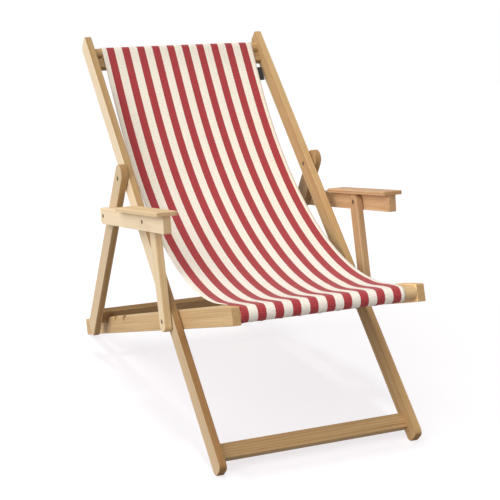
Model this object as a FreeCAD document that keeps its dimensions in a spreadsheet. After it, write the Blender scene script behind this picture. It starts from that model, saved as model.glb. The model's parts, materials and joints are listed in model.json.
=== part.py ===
import FreeCAD, Part
import math
import os
import Sketcher

# Folding deck chair: a slanted long frame, a seat frame that crosses it, a prop whose bar rests in a
# row of notches, two arms on posts and a canvas sling. Millimetres, front toward -Y, up is +Z.
# Every rail is drawn in its own plane: local Y runs along the rail, local Z across it, X is sideways.

SIZES = {
    # sideways build-up, from the middle of the chair outward
    "inner_width": 424.0,
    "seat_rail_thickness": 20.0,
    "pivot_gap": 2.0,
    "long_rail_thickness": 18.0,
    "leg_thickness": 18.0,
    "arm_rail_thickness": 19.0,
    # long rails, measured along the rail from the main pivot
    "long_rail_width": 44.0,
    "long_rail_below": 388.0,
    "long_rail_above": 857.0,
    "long_foot_radius": 14.0,
    "long_top_radius": 18.0,
    "long_top_front_radius": 3.0,
    # seat rails, measured along the rail from the main pivot
    "seat_rail_width": 45.0,
    "seat_rail_front": 331.0,
    "seat_rail_rear": 779.0,
    "seat_corner_radius": 5.0,
    "seat_taper_length": 76.0,
    "seat_taper_drop": 5.0,
    # notches in the seat rails
    "notch_corner": 569.0,
    "notch_floor": 7.0,
    "notch_slope": 27.0,
    "notch_play": 0.4,
    "notch_wall_height": 6.5,
    "notch_relief": 118.0,
    "second_notch": 496.0,
    "second_notch_slope": 25.0,
    "second_notch_depth": 14.0,
    "third_notch": 423.0,
    "third_notch_slope": 35.0,
    "third_notch_depth": 16.0,
    # prop legs, measured along the leg from its pivot
    "leg_width": 46.0,
    "leg_overhang": 37.0,
    "leg_foot": 534.0,
    "prop_bar_thickness": 16.0,
    "prop_bar_height": 42.0,
    "prop_bar_end": 506.0,
    # links between the pivots
    "main_to_prop": 412.0,
    "prop_to_arm": 120.0,
    "main_to_front_arm": 232.0,
    "arm_link": 300.0,
    # arm posts
    "post_width": 34.0,
    "post_thickness": 18.0,
    "post_overhang": 24.0,
    "post_foot_radius": 14.0,
    # arm rails and armrest boards
    "arm_rail_width": 40.0,
    "arm_rail_rear": 20.0,
    "arm_rail_front": 144.0,
    "arm_rear_radius": 13.0,
    "arm_front_radius": 4.0,
    "armrest_width": 53.0,
    "armrest_thickness": 9.5,
    "armrest_length": 293.0,
    "armrest_lip": 4.0,
    "armrest_corner_radius": 7.0,
    "armrest_edge_radius": 2.5,
    "dowel_radius": 4.0,
    "dowel_in_board": 6.0,
    "dowel_in_rail": 14.0,
    "dowel_inset": 45.0,
    # cross bars of the long frame
    "floor_bar_width": 36.0,
    "floor_bar_thickness": 20.0,
    "floor_bar_inset": 33.0,
    "floor_bar_top": 0.0,
    "top_rail_width": 30.0,
    "top_rail_thickness": 16.0,
    "top_rail_inset": 54.0,
    "top_rail_back": 18.5,
    "top_bar_inset": 36.0,
    "top_bar_below": 7.0,
    "top_bar_radius": 14.0,
    "spigot_radius": 8.0,
    # front bar of the seat
    "front_bar_depth": 32.0,
    "front_bar_height": 32.0,
    "front_bar_top": 15.5,
    "front_bar_radius": 15.5,
    # tenons and their mortises
    "tenon_shoulder": 5.0,
    "tenon_length": 11.0,
    "joint_clearance": 0.1,
    # bolts, nuts and washers of the pivots
    "shank_radius": 4.0,
    "running_clearance": 0.05,
    "head_radius": 5.5,
    "head_thickness": 3.0,
    "head_clearance": 0.5,
    "head_recess": 4.0,
    "seat_clearance": 0.1,
    "washer_radius": 8.0,
    "washer_thickness": 1.7,
    # softened edges and worn feet
    "edge_radius": 1.5,
    "foot_flat": 1.5,
    # canvas
    "cloth_thickness": 1.8,
    "cloth_clearance": 0.3,
    "cloth_side_gap": 1.0,
    "cloth_front_gap": 27.0,
    "cloth_taper_length": 160.0,
    "cloth_top_angle": 52.5,
    "cloth_front_angle": -11.5,
    "hem_length": 14.0,
    "front_wrap_below": 30.0,
    "tab_width": 19.0,
    "tab_length": 40.0,
    "tab_thickness": 1.0,
    "tab_below_bar": 69.0,
    "tab_overhang": 16.5,
}

# Sag of the canvas: share of the straight line from the front bar to the round bar, and depth
# below that line as a share of its length
CANVAS_SAG = [(0.114, 0.092), (0.29, 0.162), (0.569, 0.166), (0.809, 0.0935)]
# Even number of steps in the free hang; each arc takes two
HANG_STEPS = 16
# Halvings of the range in which the lean of the long rails is looked for
LEAN_STEPS = 60
# Lengths and cosine that tell one kind of edge from another
SAME_PLACE = 0.01
SHORT_EDGE = 1.0
NOTCH_EDGE = 60.0
POST_EDGE = 100.0
RAIL_EDGE = 200.0
ALIGNED = 0.99
# Least volume that a cut has to take off
LEAST_CUT = 1.0

NODES = []
document = FreeCAD.newDocument("deck_chair")
sheet = document.addObject("Spreadsheet::Sheet", "sizes")


class Size:
    """A length held both as a number and as the expression that binds it to the sheet."""

    def __init__(self, value, text=None):
        self.value = float(value)
        self.text = text if text else "%.9g" % value

    def joined(self, other, sign, result):
        other = as_size(other)
        return Size(result(self.value, other.value), "(%s %s %s)" % (self.text, sign, other.text))

    def __add__(self, other):
        return self.joined(other, "+", lambda a, b: a + b)

    def __sub__(self, other):
        return self.joined(other, "-", lambda a, b: a - b)

    def __mul__(self, other):
        return self.joined(other, "*", lambda a, b: a * b)

    def __truediv__(self, other):
        return self.joined(other, "/", lambda a, b: a / b)

    def __radd__(self, other):
        return as_size(other) + self

    def __rsub__(self, other):
        return as_size(other) - self

    def __neg__(self):
        return self * -1


def as_size(number):
    return number if isinstance(number, Size) else Size(number)


def fill_sheet():
    for row, (name, value) in enumerate(SIZES.items(), start=1):
        sheet.set("A%d" % row, name)
        sheet.set("B%d" % row, str(value))
        sheet.setAlias("B%d" % row, name)
    document.recompute()


def size(name):
    return Size(getattr(sheet, name), "sizes." + name)


def along(angle, distance=1.0):
    """A step of a given length in a direction, as sideways view coordinates (y, z)."""
    return (distance * math.cos(angle), distance * math.sin(angle))


def circles_meet(first, first_radius, second, second_radius, side):
    """The point at given distances from two others; side picks which of the two crossings."""
    reach = math.dist(first, second)
    part = (reach ** 2 + first_radius ** 2 - second_radius ** 2) / (2 * reach)
    height = math.sqrt(first_radius ** 2 - part ** 2)
    line = ((second[0] - first[0]) / reach, (second[1] - first[1]) / reach)
    return (
        first[0] + part * line[0] - side * height * line[1],
        first[1] + part * line[1] + side * height * line[0],
    )


def direction(start, end):
    return math.atan2(end[1] - start[1], end[0] - start[0])


class Linkage:
    """Rest position of the pivots and rails in side view, with the main pivot at (0, 0)."""

    def __init__(self):
        seat_from_long = self.seat_angle()
        self.long = self.lean(seat_from_long)
        self.seat = self.long - seat_from_long
        self.main = (0.0, 0.0)
        self.prop = along(self.long, size("main_to_prop").value)
        notch = self.on_seat(size("notch_corner").value, size("notch_floor").value)
        corner = (size("prop_bar_end").value, size("prop_bar_thickness").value / 2)
        self.leg = direction(self.prop, notch) + math.atan2(corner[1], corner[0])
        self.rear_arm = (
            self.prop[0] + along(self.leg, size("prop_to_arm").value)[0],
            self.prop[1] + along(self.leg, size("prop_to_arm").value)[1],
        )
        self.front_arm = circles_meet(
            self.main, size("main_to_front_arm").value, self.rear_arm, size("arm_link").value, 1
        )
        self.post = direction(self.main, self.front_arm)
        self.arm = direction(self.front_arm, self.rear_arm)
        self.height = self.seat_height(self.seat)

    def seat_angle(self):
        """Angle from seat rail to long rail that puts the prop bar's lower edge in the notch."""
        base = size("main_to_prop").value
        near = math.hypot(size("notch_corner").value, size("notch_floor").value)
        far = math.hypot(size("prop_bar_end").value, size("prop_bar_thickness").value / 2)
        spread = math.acos((base ** 2 + near ** 2 - far ** 2) / (2 * base * near))
        return spread + math.atan2(size("notch_floor").value, size("notch_corner").value)

    def long_height(self, angle):
        """Height of the main pivot when the rounded foot of the long rail is on the floor."""
        radius = size("long_foot_radius").value
        reach = size("long_rail_below").value - radius
        drop = size("long_rail_width").value / 2 - radius
        flat = size("foot_flat").value
        return reach * math.sin(angle) + drop * math.cos(angle) + radius - flat

    def seat_height(self, angle):
        """Height of the main pivot when the rear lower corner of the seat rail is on the floor."""
        reach = size("seat_rail_rear").value
        drop = size("seat_rail_width").value / 2
        return -reach * math.sin(angle) + drop * math.cos(angle) - size("foot_flat").value

    def lean(self, spread):
        """Angle of the long rail at which both pairs of feet touch the floor."""
        low = 0.0
        high = spread
        for _ in range(LEAN_STEPS):
            middle = (low + high) / 2
            if self.long_height(middle) < self.seat_height(middle - spread):
                low = middle
            else:
                high = middle
        return middle

    def on_seat(self, distance, across):
        """A point given along and across the seat rail, in side view."""
        return self.turned(self.seat, distance, across)

    def on_long(self, distance, across):
        return self.turned(self.long, distance, across)

    @staticmethod
    def turned(angle, distance, across):
        return (
            distance * math.cos(angle) - across * math.sin(angle),
            distance * math.sin(angle) + across * math.cos(angle),
        )


def placed(point, angle=0.0, sideways=0.0):
    """Placement of a rail's own frame: local Y along the rail at an angle above level."""
    turn = FreeCAD.Rotation(FreeCAD.Vector(1, 0, 0), math.degrees(angle))
    return FreeCAD.Placement(FreeCAD.Vector(sideways, point[0], point[1]), turn)


def keep(item, label, placement):
    item.Label = label
    item.Placement = placement
    NODES.append(item)
    return item


def new_body(label):
    body = document.addObject("PartDesign::Body", label)
    body.Label = label
    return body


def sketch_on(body, role, name, offset=None):
    """A sketch on one of the body's own origin planes, shifted along the plane's normal."""
    sketch = body.newObject("Sketcher::SketchObject", name)
    plane = next(item for item in body.Origin.OriginFeatures if item.Role == role)
    sketch.AttachmentSupport = [(plane, "")]
    sketch.MapMode = "FlatFace"
    if offset is not None:
        sketch.setExpression("AttachmentOffset.Base.z", offset.text)
    return sketch


def bind(sketch, kind, geometry, vertex, value):
    index = sketch.addConstraint(Sketcher.Constraint(kind, -1, 1, geometry, vertex, value.value))
    sketch.setExpression("Constraints[%d]" % index, value.text)


def draw_outline(sketch, points):
    """A closed polygon whose corners are bound to the sheet."""
    points = [(as_size(u), as_size(v)) for u, v in points]
    first = sketch.GeometryCount
    for index, (u, v) in enumerate(points):
        end_u, end_v = points[(index + 1) % len(points)]
        start = FreeCAD.Vector(u.value, v.value, 0)
        end = FreeCAD.Vector(end_u.value, end_v.value, 0)
        sketch.addGeometry(Part.LineSegment(start, end), False)
    for index, (u, v) in enumerate(points):
        following = first + (index + 1) % len(points)
        sketch.addConstraint(Sketcher.Constraint("Coincident", first + index, 2, following, 1))
        bind(sketch, "DistanceX", first + index, 1, u)
        bind(sketch, "DistanceY", first + index, 1, v)


def draw_circle(sketch, centre, radius):
    u, v = (as_size(number) for number in centre)
    middle = FreeCAD.Vector(u.value, v.value, 0)
    circle = sketch.addGeometry(Part.Circle(middle, FreeCAD.Vector(0, 0, 1), radius.value), False)
    bind(sketch, "DistanceX", circle, 3, u)
    bind(sketch, "DistanceY", circle, 3, v)
    index = sketch.addConstraint(Sketcher.Constraint("Radius", circle, radius.value))
    sketch.setExpression("Constraints[%d]" % index, radius.text)


def pad(body, sketch, name, length, toward=1, centred=False):
    feature = body.newObject("PartDesign::Pad", name)
    feature.Profile = sketch
    feature.setExpression("Length", length.text)
    feature.Reversed = toward < 0
    feature.Midplane = centred
    document.recompute()
    return feature


def pocket(body, sketch, name, depth, toward):
    """A cut of a given depth; toward is the side of the sketch that loses material."""
    before = body.Shape.Volume
    feature = body.newObject("PartDesign::Pocket", name)
    feature.Profile = sketch
    feature.setExpression("Length", depth.text)
    feature.Reversed = toward > 0
    document.recompute()
    if body.Shape.Volume > before - LEAST_CUT:
        raise ValueError("%s cuts nothing from %s" % (name, body.Label))
    return feature


def rectangle(start_u, end_u, start_v, end_v):
    return [(start_u, start_v), (end_u, start_v), (end_u, end_v), (start_u, end_v)]


def near(value, target):
    return abs(value - as_size(target).value) < SAME_PLACE


def cross_edges(body, corners):
    """Names of the sideways edges that stand at the given corners of the outline."""
    names = []
    for number, edge in enumerate(body.Shape.Edges, start=1):
        box = edge.BoundBox
        if box.XLength < SHORT_EDGE or max(box.YLength, box.ZLength) > SAME_PLACE:
            continue
        if any(near(box.YMin, u) and near(box.ZMin, v) for u, v in corners):
            names.append("Edge%d" % number)
    return names


def long_edges(body, least, axes=("X",)):
    """Names of the straight edges over a given length, apart from those along the named axes."""
    names = []
    for number, edge in enumerate(body.Shape.Edges, start=1):
        if edge.Curve.TypeId != "Part::GeomLine" or edge.Length < least:
            continue
        tangent = edge.Curve.Direction
        lengths = {"X": abs(tangent.x), "Y": abs(tangent.y), "Z": abs(tangent.z)}
        if all(lengths[axis] < ALIGNED for axis in axes):
            names.append("Edge%d" % number)
    return names


def fillet(body, name, edges, radius):
    if not edges:
        raise ValueError("%s of %s finds no edge" % (name, body.Label))
    base = body.Tip
    feature = body.newObject("PartDesign::Fillet", name)
    feature.Base = (base, edges)
    feature.setExpression("Radius", radius.text)
    document.recompute()
    return feature


def name_of(word, side):
    return "%s_%s" % (word, "right" if side > 0 else "left")


def bore(body, side, name, centre, thickness, recesses):
    """A through bore for a bolt, with a recess for a head (outer) or a nut (inner)."""
    sketch = sketch_on(body, "YZ_Plane", name)
    draw_circle(sketch, centre, size("shank_radius") + size("running_clearance"))
    pocket(body, sketch, name + "_through", thickness, side)
    for recess in recesses:
        offset = thickness * side if recess == "outer" else as_size(0)
        sketch = sketch_on(body, "YZ_Plane", "%s_%s" % (name, recess), offset)
        draw_circle(sketch, centre, size("head_radius") + size("head_clearance"))
        toward = -side if recess == "outer" else side
        pocket(body, sketch, "%s_%s_cut" % (name, recess), size("head_recess"), toward)


def mortise(body, side, name, limits):
    """A blind mortise in the inner face for a tenon with the given limits."""
    slack = size("joint_clearance")
    start_u, end_u, start_v, end_v = limits
    sketch = sketch_on(body, "YZ_Plane", name)
    draw_outline(sketch, rectangle(start_u - slack, end_u + slack, start_v - slack, end_v + slack))
    pocket(body, sketch, name + "_cut", size("tenon_length") + slack, side)


def foot_cut(body, side, name, thickness, angle):
    """Takes off the sliver of a foot that would reach below the floor."""
    height = links.height
    reach = (size("long_rail_below") + size("seat_rail_rear")).value
    depth = size("long_rail_width").value
    start = to_rail(-reach, -height, angle)
    end = to_rail(reach, -height, angle)
    end_below = to_rail(reach, -height - depth, angle)
    start_below = to_rail(-reach, -height - depth, angle)
    sketch = sketch_on(body, "YZ_Plane", name)
    draw_outline(sketch, [start, end, end_below, start_below])
    pocket(body, sketch, name + "_cut", thickness, side)


def to_rail(level, upright, angle):
    """Side view coordinates turned into a rail's own along and across coordinates."""
    return (
        level * math.cos(angle) + upright * math.sin(angle),
        -level * math.sin(angle) + upright * math.cos(angle),
    )


def tenon_limits(start_u, end_u, start_v, end_v):
    shoulder = size("tenon_shoulder")
    return (start_u + shoulder, end_u - shoulder, start_v + shoulder, end_v - shoulder)


def stretcher(label, section, half_width, placement, corners=(), corner_radius=None):
    """A cross bar between two rails with a tenon at each end."""
    body = new_body(label)
    outline = sketch_on(body, "YZ_Plane", label + "_section")
    draw_outline(outline, rectangle(*section))
    pad(body, outline, label + "_bar", half_width * 2, centred=True)
    if corners:
        fillet(body, label + "_nose", cross_edges(body, corners), corner_radius)
    fillet(body, label + "_edges", long_edges(body, RAIL_EDGE, axes=("Y", "Z")), size("edge_radius"))
    tenon = sketch_on(body, "YZ_Plane", label + "_tenon_section")
    draw_outline(tenon, rectangle(*tenon_limits(*section)))
    pad(body, tenon, label + "_tenons", (half_width + size("tenon_length")) * 2, centred=True)
    return keep(body, label, placement)


def floor_bar_section():
    start = size("floor_bar_inset") - size("long_rail_below")
    low = size("floor_bar_top") - size("floor_bar_thickness")
    return (start, start + size("floor_bar_width"), low, size("floor_bar_top"))


def top_rail_section():
    back = -size("top_rail_back")
    end = size("long_rail_above") - size("top_rail_inset")
    return (end - size("top_rail_width"), end, back, back + size("top_rail_thickness"))


def front_bar_section():
    front = -size("seat_rail_front")
    top = size("front_bar_top")
    return (front, front + size("front_bar_depth"), top - size("front_bar_height"), top)


def prop_bar_section():
    end = size("prop_bar_end")
    half = size("prop_bar_thickness") / 2
    return (end - size("prop_bar_height"), end, -half, half)


def top_bar_centre():
    return (size("long_rail_above") - size("top_bar_inset"), -size("top_bar_below"))


def long_rail(side):
    body = new_body(name_of("long_rail", side))
    half = size("long_rail_width") / 2
    start = -size("long_rail_below")
    end = size("long_rail_above")
    thickness = size("long_rail_thickness")
    outline = sketch_on(body, "YZ_Plane", "outline")
    draw_outline(outline, rectangle(start, end, -half, half))
    pad(body, outline, "rail", thickness, side)
    feet = cross_edges(body, [(start, -half), (start, half)])
    fillet(body, "foot_rounding", feet, size("long_foot_radius"))
    fillet(body, "top_rounding", cross_edges(body, [(end, -half)]), size("long_top_radius"))
    fillet(body, "front_rounding", cross_edges(body, [(end, half)]), size("long_top_front_radius"))
    fillet(body, "soft_edges", long_edges(body, RAIL_EDGE), size("edge_radius"))
    bore(body, side, "main_bore", (0, 0), thickness, [])
    bore(body, side, "prop_bore", (size("main_to_prop"), 0), thickness, ["inner"])
    mortise(body, side, "floor_mortise", tenon_limits(*floor_bar_section()))
    mortise(body, side, "top_mortise", tenon_limits(*top_rail_section()))
    socket = sketch_on(body, "YZ_Plane", "bar_socket")
    draw_circle(socket, top_bar_centre(), size("spigot_radius") + size("joint_clearance"))
    depth = size("tenon_length") + size("joint_clearance")
    pocket(body, socket, "bar_socket_cut", depth, side)
    foot_cut(body, side, "foot", thickness, links.long)
    return keep(body, body.Label, placed(links.main, links.long, side * half_widths["long"].value))


def top_bar():
    body = new_body("top_bar")
    outline = sketch_on(body, "YZ_Plane", "round")
    draw_circle(outline, top_bar_centre(), size("top_bar_radius"))
    pad(body, outline, "bar", half_widths["long"] * 2, centred=True)
    spigot = sketch_on(body, "YZ_Plane", "spigot")
    draw_circle(spigot, top_bar_centre(), size("spigot_radius"))
    pad(body, spigot, "spigots", (half_widths["long"] + size("tenon_length")) * 2, centred=True)
    return keep(body, "top_bar", placed(links.main, links.long))


def seat_outline():
    """Side outline of a seat rail with its three notches, from the front end round the top."""
    half = size("seat_rail_width") / 2
    front = -size("seat_rail_front")
    rear = size("seat_rail_rear")
    play = size("notch_play")
    lean = links.leg - links.seat
    bar = size("prop_bar_thickness").value
    wall = size("notch_corner") + bar * -math.sin(lean) + play
    floor = size("notch_floor") - play
    wall_top = floor + size("notch_wall_height")
    second = size("second_notch")
    third = size("third_notch")
    return [
        (front, -half),
        (rear, -half),
        (rear, half),
        (wall + size("notch_relief"), half),
        (wall, wall_top),
        (wall, floor),
        (size("notch_corner") - play, floor),
        (size("notch_corner") - play - size("notch_slope"), half),
        (second, half),
        (second, half - size("second_notch_depth")),
        (second - size("second_notch_slope"), half),
        (third, half),
        (third, half - size("third_notch_depth")),
        (third - size("third_notch_slope"), half),
        (front + size("seat_taper_length"), half),
        (front, half - size("seat_taper_drop")),
    ]


def seat_rail(side):
    body = new_body(name_of("seat_rail", side))
    half = size("seat_rail_width") / 2
    thickness = size("seat_rail_thickness")
    outline = sketch_on(body, "YZ_Plane", "outline")
    draw_outline(outline, seat_outline())
    pad(body, outline, "rail", thickness, side)
    front = -size("seat_rail_front")
    front_top = half - size("seat_taper_drop")
    ends = cross_edges(body, [(front, front_top), (size("seat_rail_rear"), half)])
    fillet(body, "end_rounding", ends, size("seat_corner_radius"))
    fillet(body, "soft_edges", long_edges(body, NOTCH_EDGE), size("edge_radius"))
    bore(body, side, "main_bore", (0, 0), thickness, ["inner"])
    mortise(body, side, "bar_mortise", tenon_limits(*front_bar_section()))
    foot_cut(body, side, "foot", thickness, links.seat)
    return keep(body, body.Label, placed(links.main, links.seat, side * half_widths["seat"].value))


def prop_leg(side):
    body = new_body(name_of("prop_leg", side))
    half = size("leg_width") / 2
    start = -size("leg_overhang")
    thickness = size("leg_thickness")
    outline = sketch_on(body, "YZ_Plane", "outline")
    draw_outline(outline, rectangle(start, size("leg_foot"), -half, half))
    pad(body, outline, "leg", thickness, side)
    top = cross_edges(body, [(start, -half), (start, half)])
    fillet(body, "top_rounding", top, half - size("edge_radius") / 2)
    fillet(body, "soft_edges", long_edges(body, RAIL_EDGE), size("edge_radius"))
    bore(body, side, "prop_bore", (0, 0), thickness, ["outer"])
    bore(body, side, "arm_bore", (size("prop_to_arm"), 0), thickness, ["inner"])
    mortise(body, side, "bar_mortise", tenon_limits(*prop_bar_section()))
    return keep(body, body.Label, placed(links.prop, links.leg, side * half_widths["outer"].value))


def arm_post(side):
    body = new_body(name_of("arm_post", side))
    half = size("post_width") / 2
    start = -size("post_overhang")
    end = size("main_to_front_arm") + half
    thickness = size("post_thickness")
    outline = sketch_on(body, "YZ_Plane", "outline")
    draw_outline(outline, rectangle(start, end, -half, half))
    pad(body, outline, "post", thickness, side)
    top = cross_edges(body, [(end, -half), (end, half)])
    fillet(body, "top_rounding", top, half - size("edge_radius") / 2)
    foot = cross_edges(body, [(start, -half), (start, half)])
    fillet(body, "foot_rounding", foot, size("post_foot_radius"))
    fillet(body, "soft_edges", long_edges(body, POST_EDGE), size("edge_radius"))
    bore(body, side, "main_bore", (0, 0), thickness, ["outer"])
    bore(body, side, "arm_bore", (size("main_to_front_arm"), 0), thickness, ["inner"])
    return keep(body, body.Label, placed(links.main, links.post, side * half_widths["outer"].value))


def dowel_places():
    front = -size("arm_link") - size("arm_rail_front") - size("armrest_lip")
    rear = front + size("armrest_length")
    return [front + size("dowel_inset"), rear - size("dowel_inset")]


def arm_rail(side):
    body = new_body(name_of("arm_rail", side))
    half = size("arm_rail_width") / 2
    front = -size("arm_link") - size("arm_rail_front")
    rear = size("arm_rail_rear")
    thickness = size("arm_rail_thickness")
    outline = sketch_on(body, "YZ_Plane", "outline")
    draw_outline(outline, rectangle(front, rear, -half, half))
    pad(body, outline, "rail", thickness, side)
    fillet(body, "rear_rounding", cross_edges(body, [(rear, -half)]), size("arm_rear_radius"))
    fillet(body, "front_rounding", cross_edges(body, [(front, -half)]), size("arm_front_radius"))
    fillet(body, "soft_edges", long_edges(body, RAIL_EDGE), size("edge_radius"))
    bore(body, side, "rear_bore", (0, 0), thickness, ["outer"])
    bore(body, side, "front_bore", (-size("arm_link"), 0), thickness, ["outer"])
    sockets = sketch_on(body, "XY_Plane", "dowel_sockets", half)
    for place in dowel_places():
        centre = (thickness / 2 * side, place)
        draw_circle(sockets, centre, size("dowel_radius") + size("joint_clearance"))
    depth = size("dowel_in_rail") + size("joint_clearance")
    pocket(body, sockets, "dowel_socket_cut", depth, -1)
    return keep(body, body.Label, placed(links.rear_arm, links.arm, side * half_widths["arm"].value))


def armrest(side):
    body = new_body(name_of("armrest", side))
    half = size("armrest_width") / 2
    bottom = size("arm_rail_width") / 2
    front = -size("arm_link") - size("arm_rail_front") - size("armrest_lip")
    rear = front + size("armrest_length")
    plan = sketch_on(body, "XY_Plane", "plan", bottom)
    draw_outline(plan, rectangle(-half, half, front, rear))
    pad(body, plan, "board", size("armrest_thickness"))
    corners = []
    for number, edge in enumerate(body.Shape.Edges, start=1):
        if edge.BoundBox.ZLength > SHORT_EDGE:
            corners.append("Edge%d" % number)
    fillet(body, "plan_corners", corners, size("armrest_corner_radius"))
    top = []
    for number, edge in enumerate(body.Shape.Edges, start=1):
        if near(edge.BoundBox.ZMin, bottom + size("armrest_thickness")):
            top.append("Edge%d" % number)
    fillet(body, "top_edge", top, size("armrest_edge_radius"))
    sockets = sketch_on(body, "XY_Plane", "dowel_sockets", bottom)
    for place in dowel_places():
        draw_circle(sockets, (0, place), size("dowel_radius") + size("joint_clearance"))
    depth = size("dowel_in_board") + size("joint_clearance")
    pocket(body, sockets, "dowel_socket_cut", depth, 1)
    middle = (half_widths["arm"] + size("arm_rail_thickness") / 2).value
    return keep(body, body.Label, placed(links.rear_arm, links.arm, side * middle))


def cylinder(name, radius, length, start, axis_side=0, centre=(0, 0)):
    """A round bar along X toward one side, or upright along local Z where no side is given."""
    item = document.addObject("Part::Cylinder", name)
    item.setExpression("Radius", radius.text)
    item.setExpression("Height", length.text)
    if axis_side:
        turn = FreeCAD.Rotation(FreeCAD.Vector(0, 1, 0), 90 * axis_side)
        item.Placement = FreeCAD.Placement(FreeCAD.Vector(0, 0, 0), turn)
        item.setExpression("Placement.Base.x", (start * axis_side).text)
    else:
        item.setExpression("Placement.Base.y", centre[1].text)
        item.setExpression("Placement.Base.z", start.text)
    return item


def two_part(kind, name, base, tool):
    item = document.addObject(kind, name)
    item.Base = base
    item.Tool = tool
    return item


def ring(name, outer, length, start, side):
    disc = cylinder(name + "_disc", outer, length, start, side)
    hole_radius = size("shank_radius") + size("running_clearance")
    hole = cylinder(name + "_hole", hole_radius, length, start, side)
    return two_part("Part::Cut", name, disc, hole)


def bolt(name, side, face, end):
    """A bolt with its head sunk below an outer face and its shank running inward to an end."""
    underside = face - size("head_recess") + size("seat_clearance")
    head = cylinder(name + "_head", size("head_radius"), size("head_thickness"), underside, side)
    shank = cylinder(name + "_shank", size("shank_radius"), underside - end, end, side)
    return two_part("Part::Fuse", name, head, shank)


def nut(name, side, face):
    """A round nut sunk below an inner face."""
    start = face + size("head_recess") - size("seat_clearance") - size("head_thickness")
    return ring(name, size("head_radius"), size("head_thickness"), start, side)


def nut_end(face):
    """Where the shank ends inside a nut sunk below an inner face."""
    return face + size("head_recess") - size("seat_clearance") - size("head_thickness")


def washer(name, side, gap_start):
    start = gap_start + (size("pivot_gap") - size("washer_thickness")) / 2
    return ring(name, size("washer_radius"), size("washer_thickness"), start, side)


def group(label, items, placement):
    item = document.addObject("Part::Compound", label)
    item.Links = items
    return keep(item, label, placement)


def moved(item, offset):
    """Shifts one member of a group from the group's own pivot to another pivot."""
    item.Placement = FreeCAD.Placement(FreeCAD.Vector(0, offset[0], offset[1]), FreeCAD.Rotation())
    return item


def fasteners():
    seat = half_widths["seat"]
    inner = half_widths["long"]
    outer = half_widths["outer"]
    arm = half_widths["arm"]
    leg_face = outer + size("leg_thickness")
    post_face = outer + size("post_thickness")
    seat_gap = inner - size("pivot_gap")
    outer_gap = outer - size("pivot_gap")
    sides = (-1, 1)
    main_bolts = []
    main_nuts = []
    prop_bolts = []
    prop_nuts = []
    washers = []
    leg_nuts = []
    for side in sides:
        main_bolts.append(bolt(name_of("main_bolt", side), side, post_face, nut_end(seat)))
        main_nuts.append(nut(name_of("main_nut", side), side, seat))
        prop_bolts.append(bolt(name_of("prop_bolt", side), side, leg_face, nut_end(inner)))
        prop_nuts.append(nut(name_of("prop_nut", side), side, inner))
        washers.append(washer(name_of("seat_washer", side), side, seat_gap))
        washers.append(washer(name_of("post_washer", side), side, outer_gap))
        washers.append(moved(washer(name_of("leg_washer", side), side, outer_gap), links.prop))
        leg_nuts.append(nut(name_of("leg_nut", side), side, outer))
    group("main_bolts", main_bolts, placed(links.main))
    group("main_nuts", main_nuts, placed(links.main))
    group("prop_bolts", prop_bolts, placed(links.prop))
    group("prop_nuts", prop_nuts, placed(links.prop))
    group("pivot_washers", washers, placed(links.main))
    group("arm_rear_nuts", leg_nuts, placed(links.rear_arm))
    for side in sides:
        arm_fasteners(side, outer, arm)


def arm_fasteners(side, outer, arm):
    """The front pivot bolt runs through; the rear one ends inside the gap beside the leg."""
    arm_face = arm + size("arm_rail_thickness")
    gap = arm - size("pivot_gap")
    front = bolt(name_of("front_bolt", side), side, arm_face, nut_end(outer))
    group(name_of("arm_front_bolt", side), [front], placed(links.front_arm))
    front_nut = nut(name_of("front_nut", side), side, outer)
    group(name_of("arm_front_nut", side), [front_nut], placed(links.front_arm))
    end = gap + (size("pivot_gap") - size("washer_thickness")) / 2
    rear = bolt(name_of("rear_bolt", side), side, arm_face, end)
    group(name_of("arm_rear_bolt", side), [rear], placed(links.rear_arm))
    rear_washer = washer(name_of("rear_washer", side), side, gap)
    offset = (links.front_arm[0] - links.rear_arm[0], links.front_arm[1] - links.rear_arm[1])
    front_washer = moved(washer(name_of("front_washer", side), side, gap), offset)
    group(name_of("arm_washers", side), [rear_washer, front_washer], placed(links.rear_arm))
    bottom = size("arm_rail_width") / 2 - size("dowel_in_rail")
    length = size("dowel_in_rail") + size("dowel_in_board")
    dowels = []
    for number, place in enumerate(dowel_places(), start=1):
        name = "%s_%d" % (name_of("dowel", side), number)
        dowels.append(cylinder(name, size("dowel_radius"), length, bottom, centre=(0, place)))
    middle = (arm + size("arm_rail_thickness") / 2).value
    placement = placed(links.rear_arm, links.arm, side * middle)
    group(name_of("armrest_dowels", side), dowels, placement)


def vector(point, sideways=0.0):
    return FreeCAD.Vector(sideways, point[0], point[1])


def shifted(point, angle, distance):
    step = along(angle, distance)
    return (point[0] + step[0], point[1] + step[1])


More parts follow.
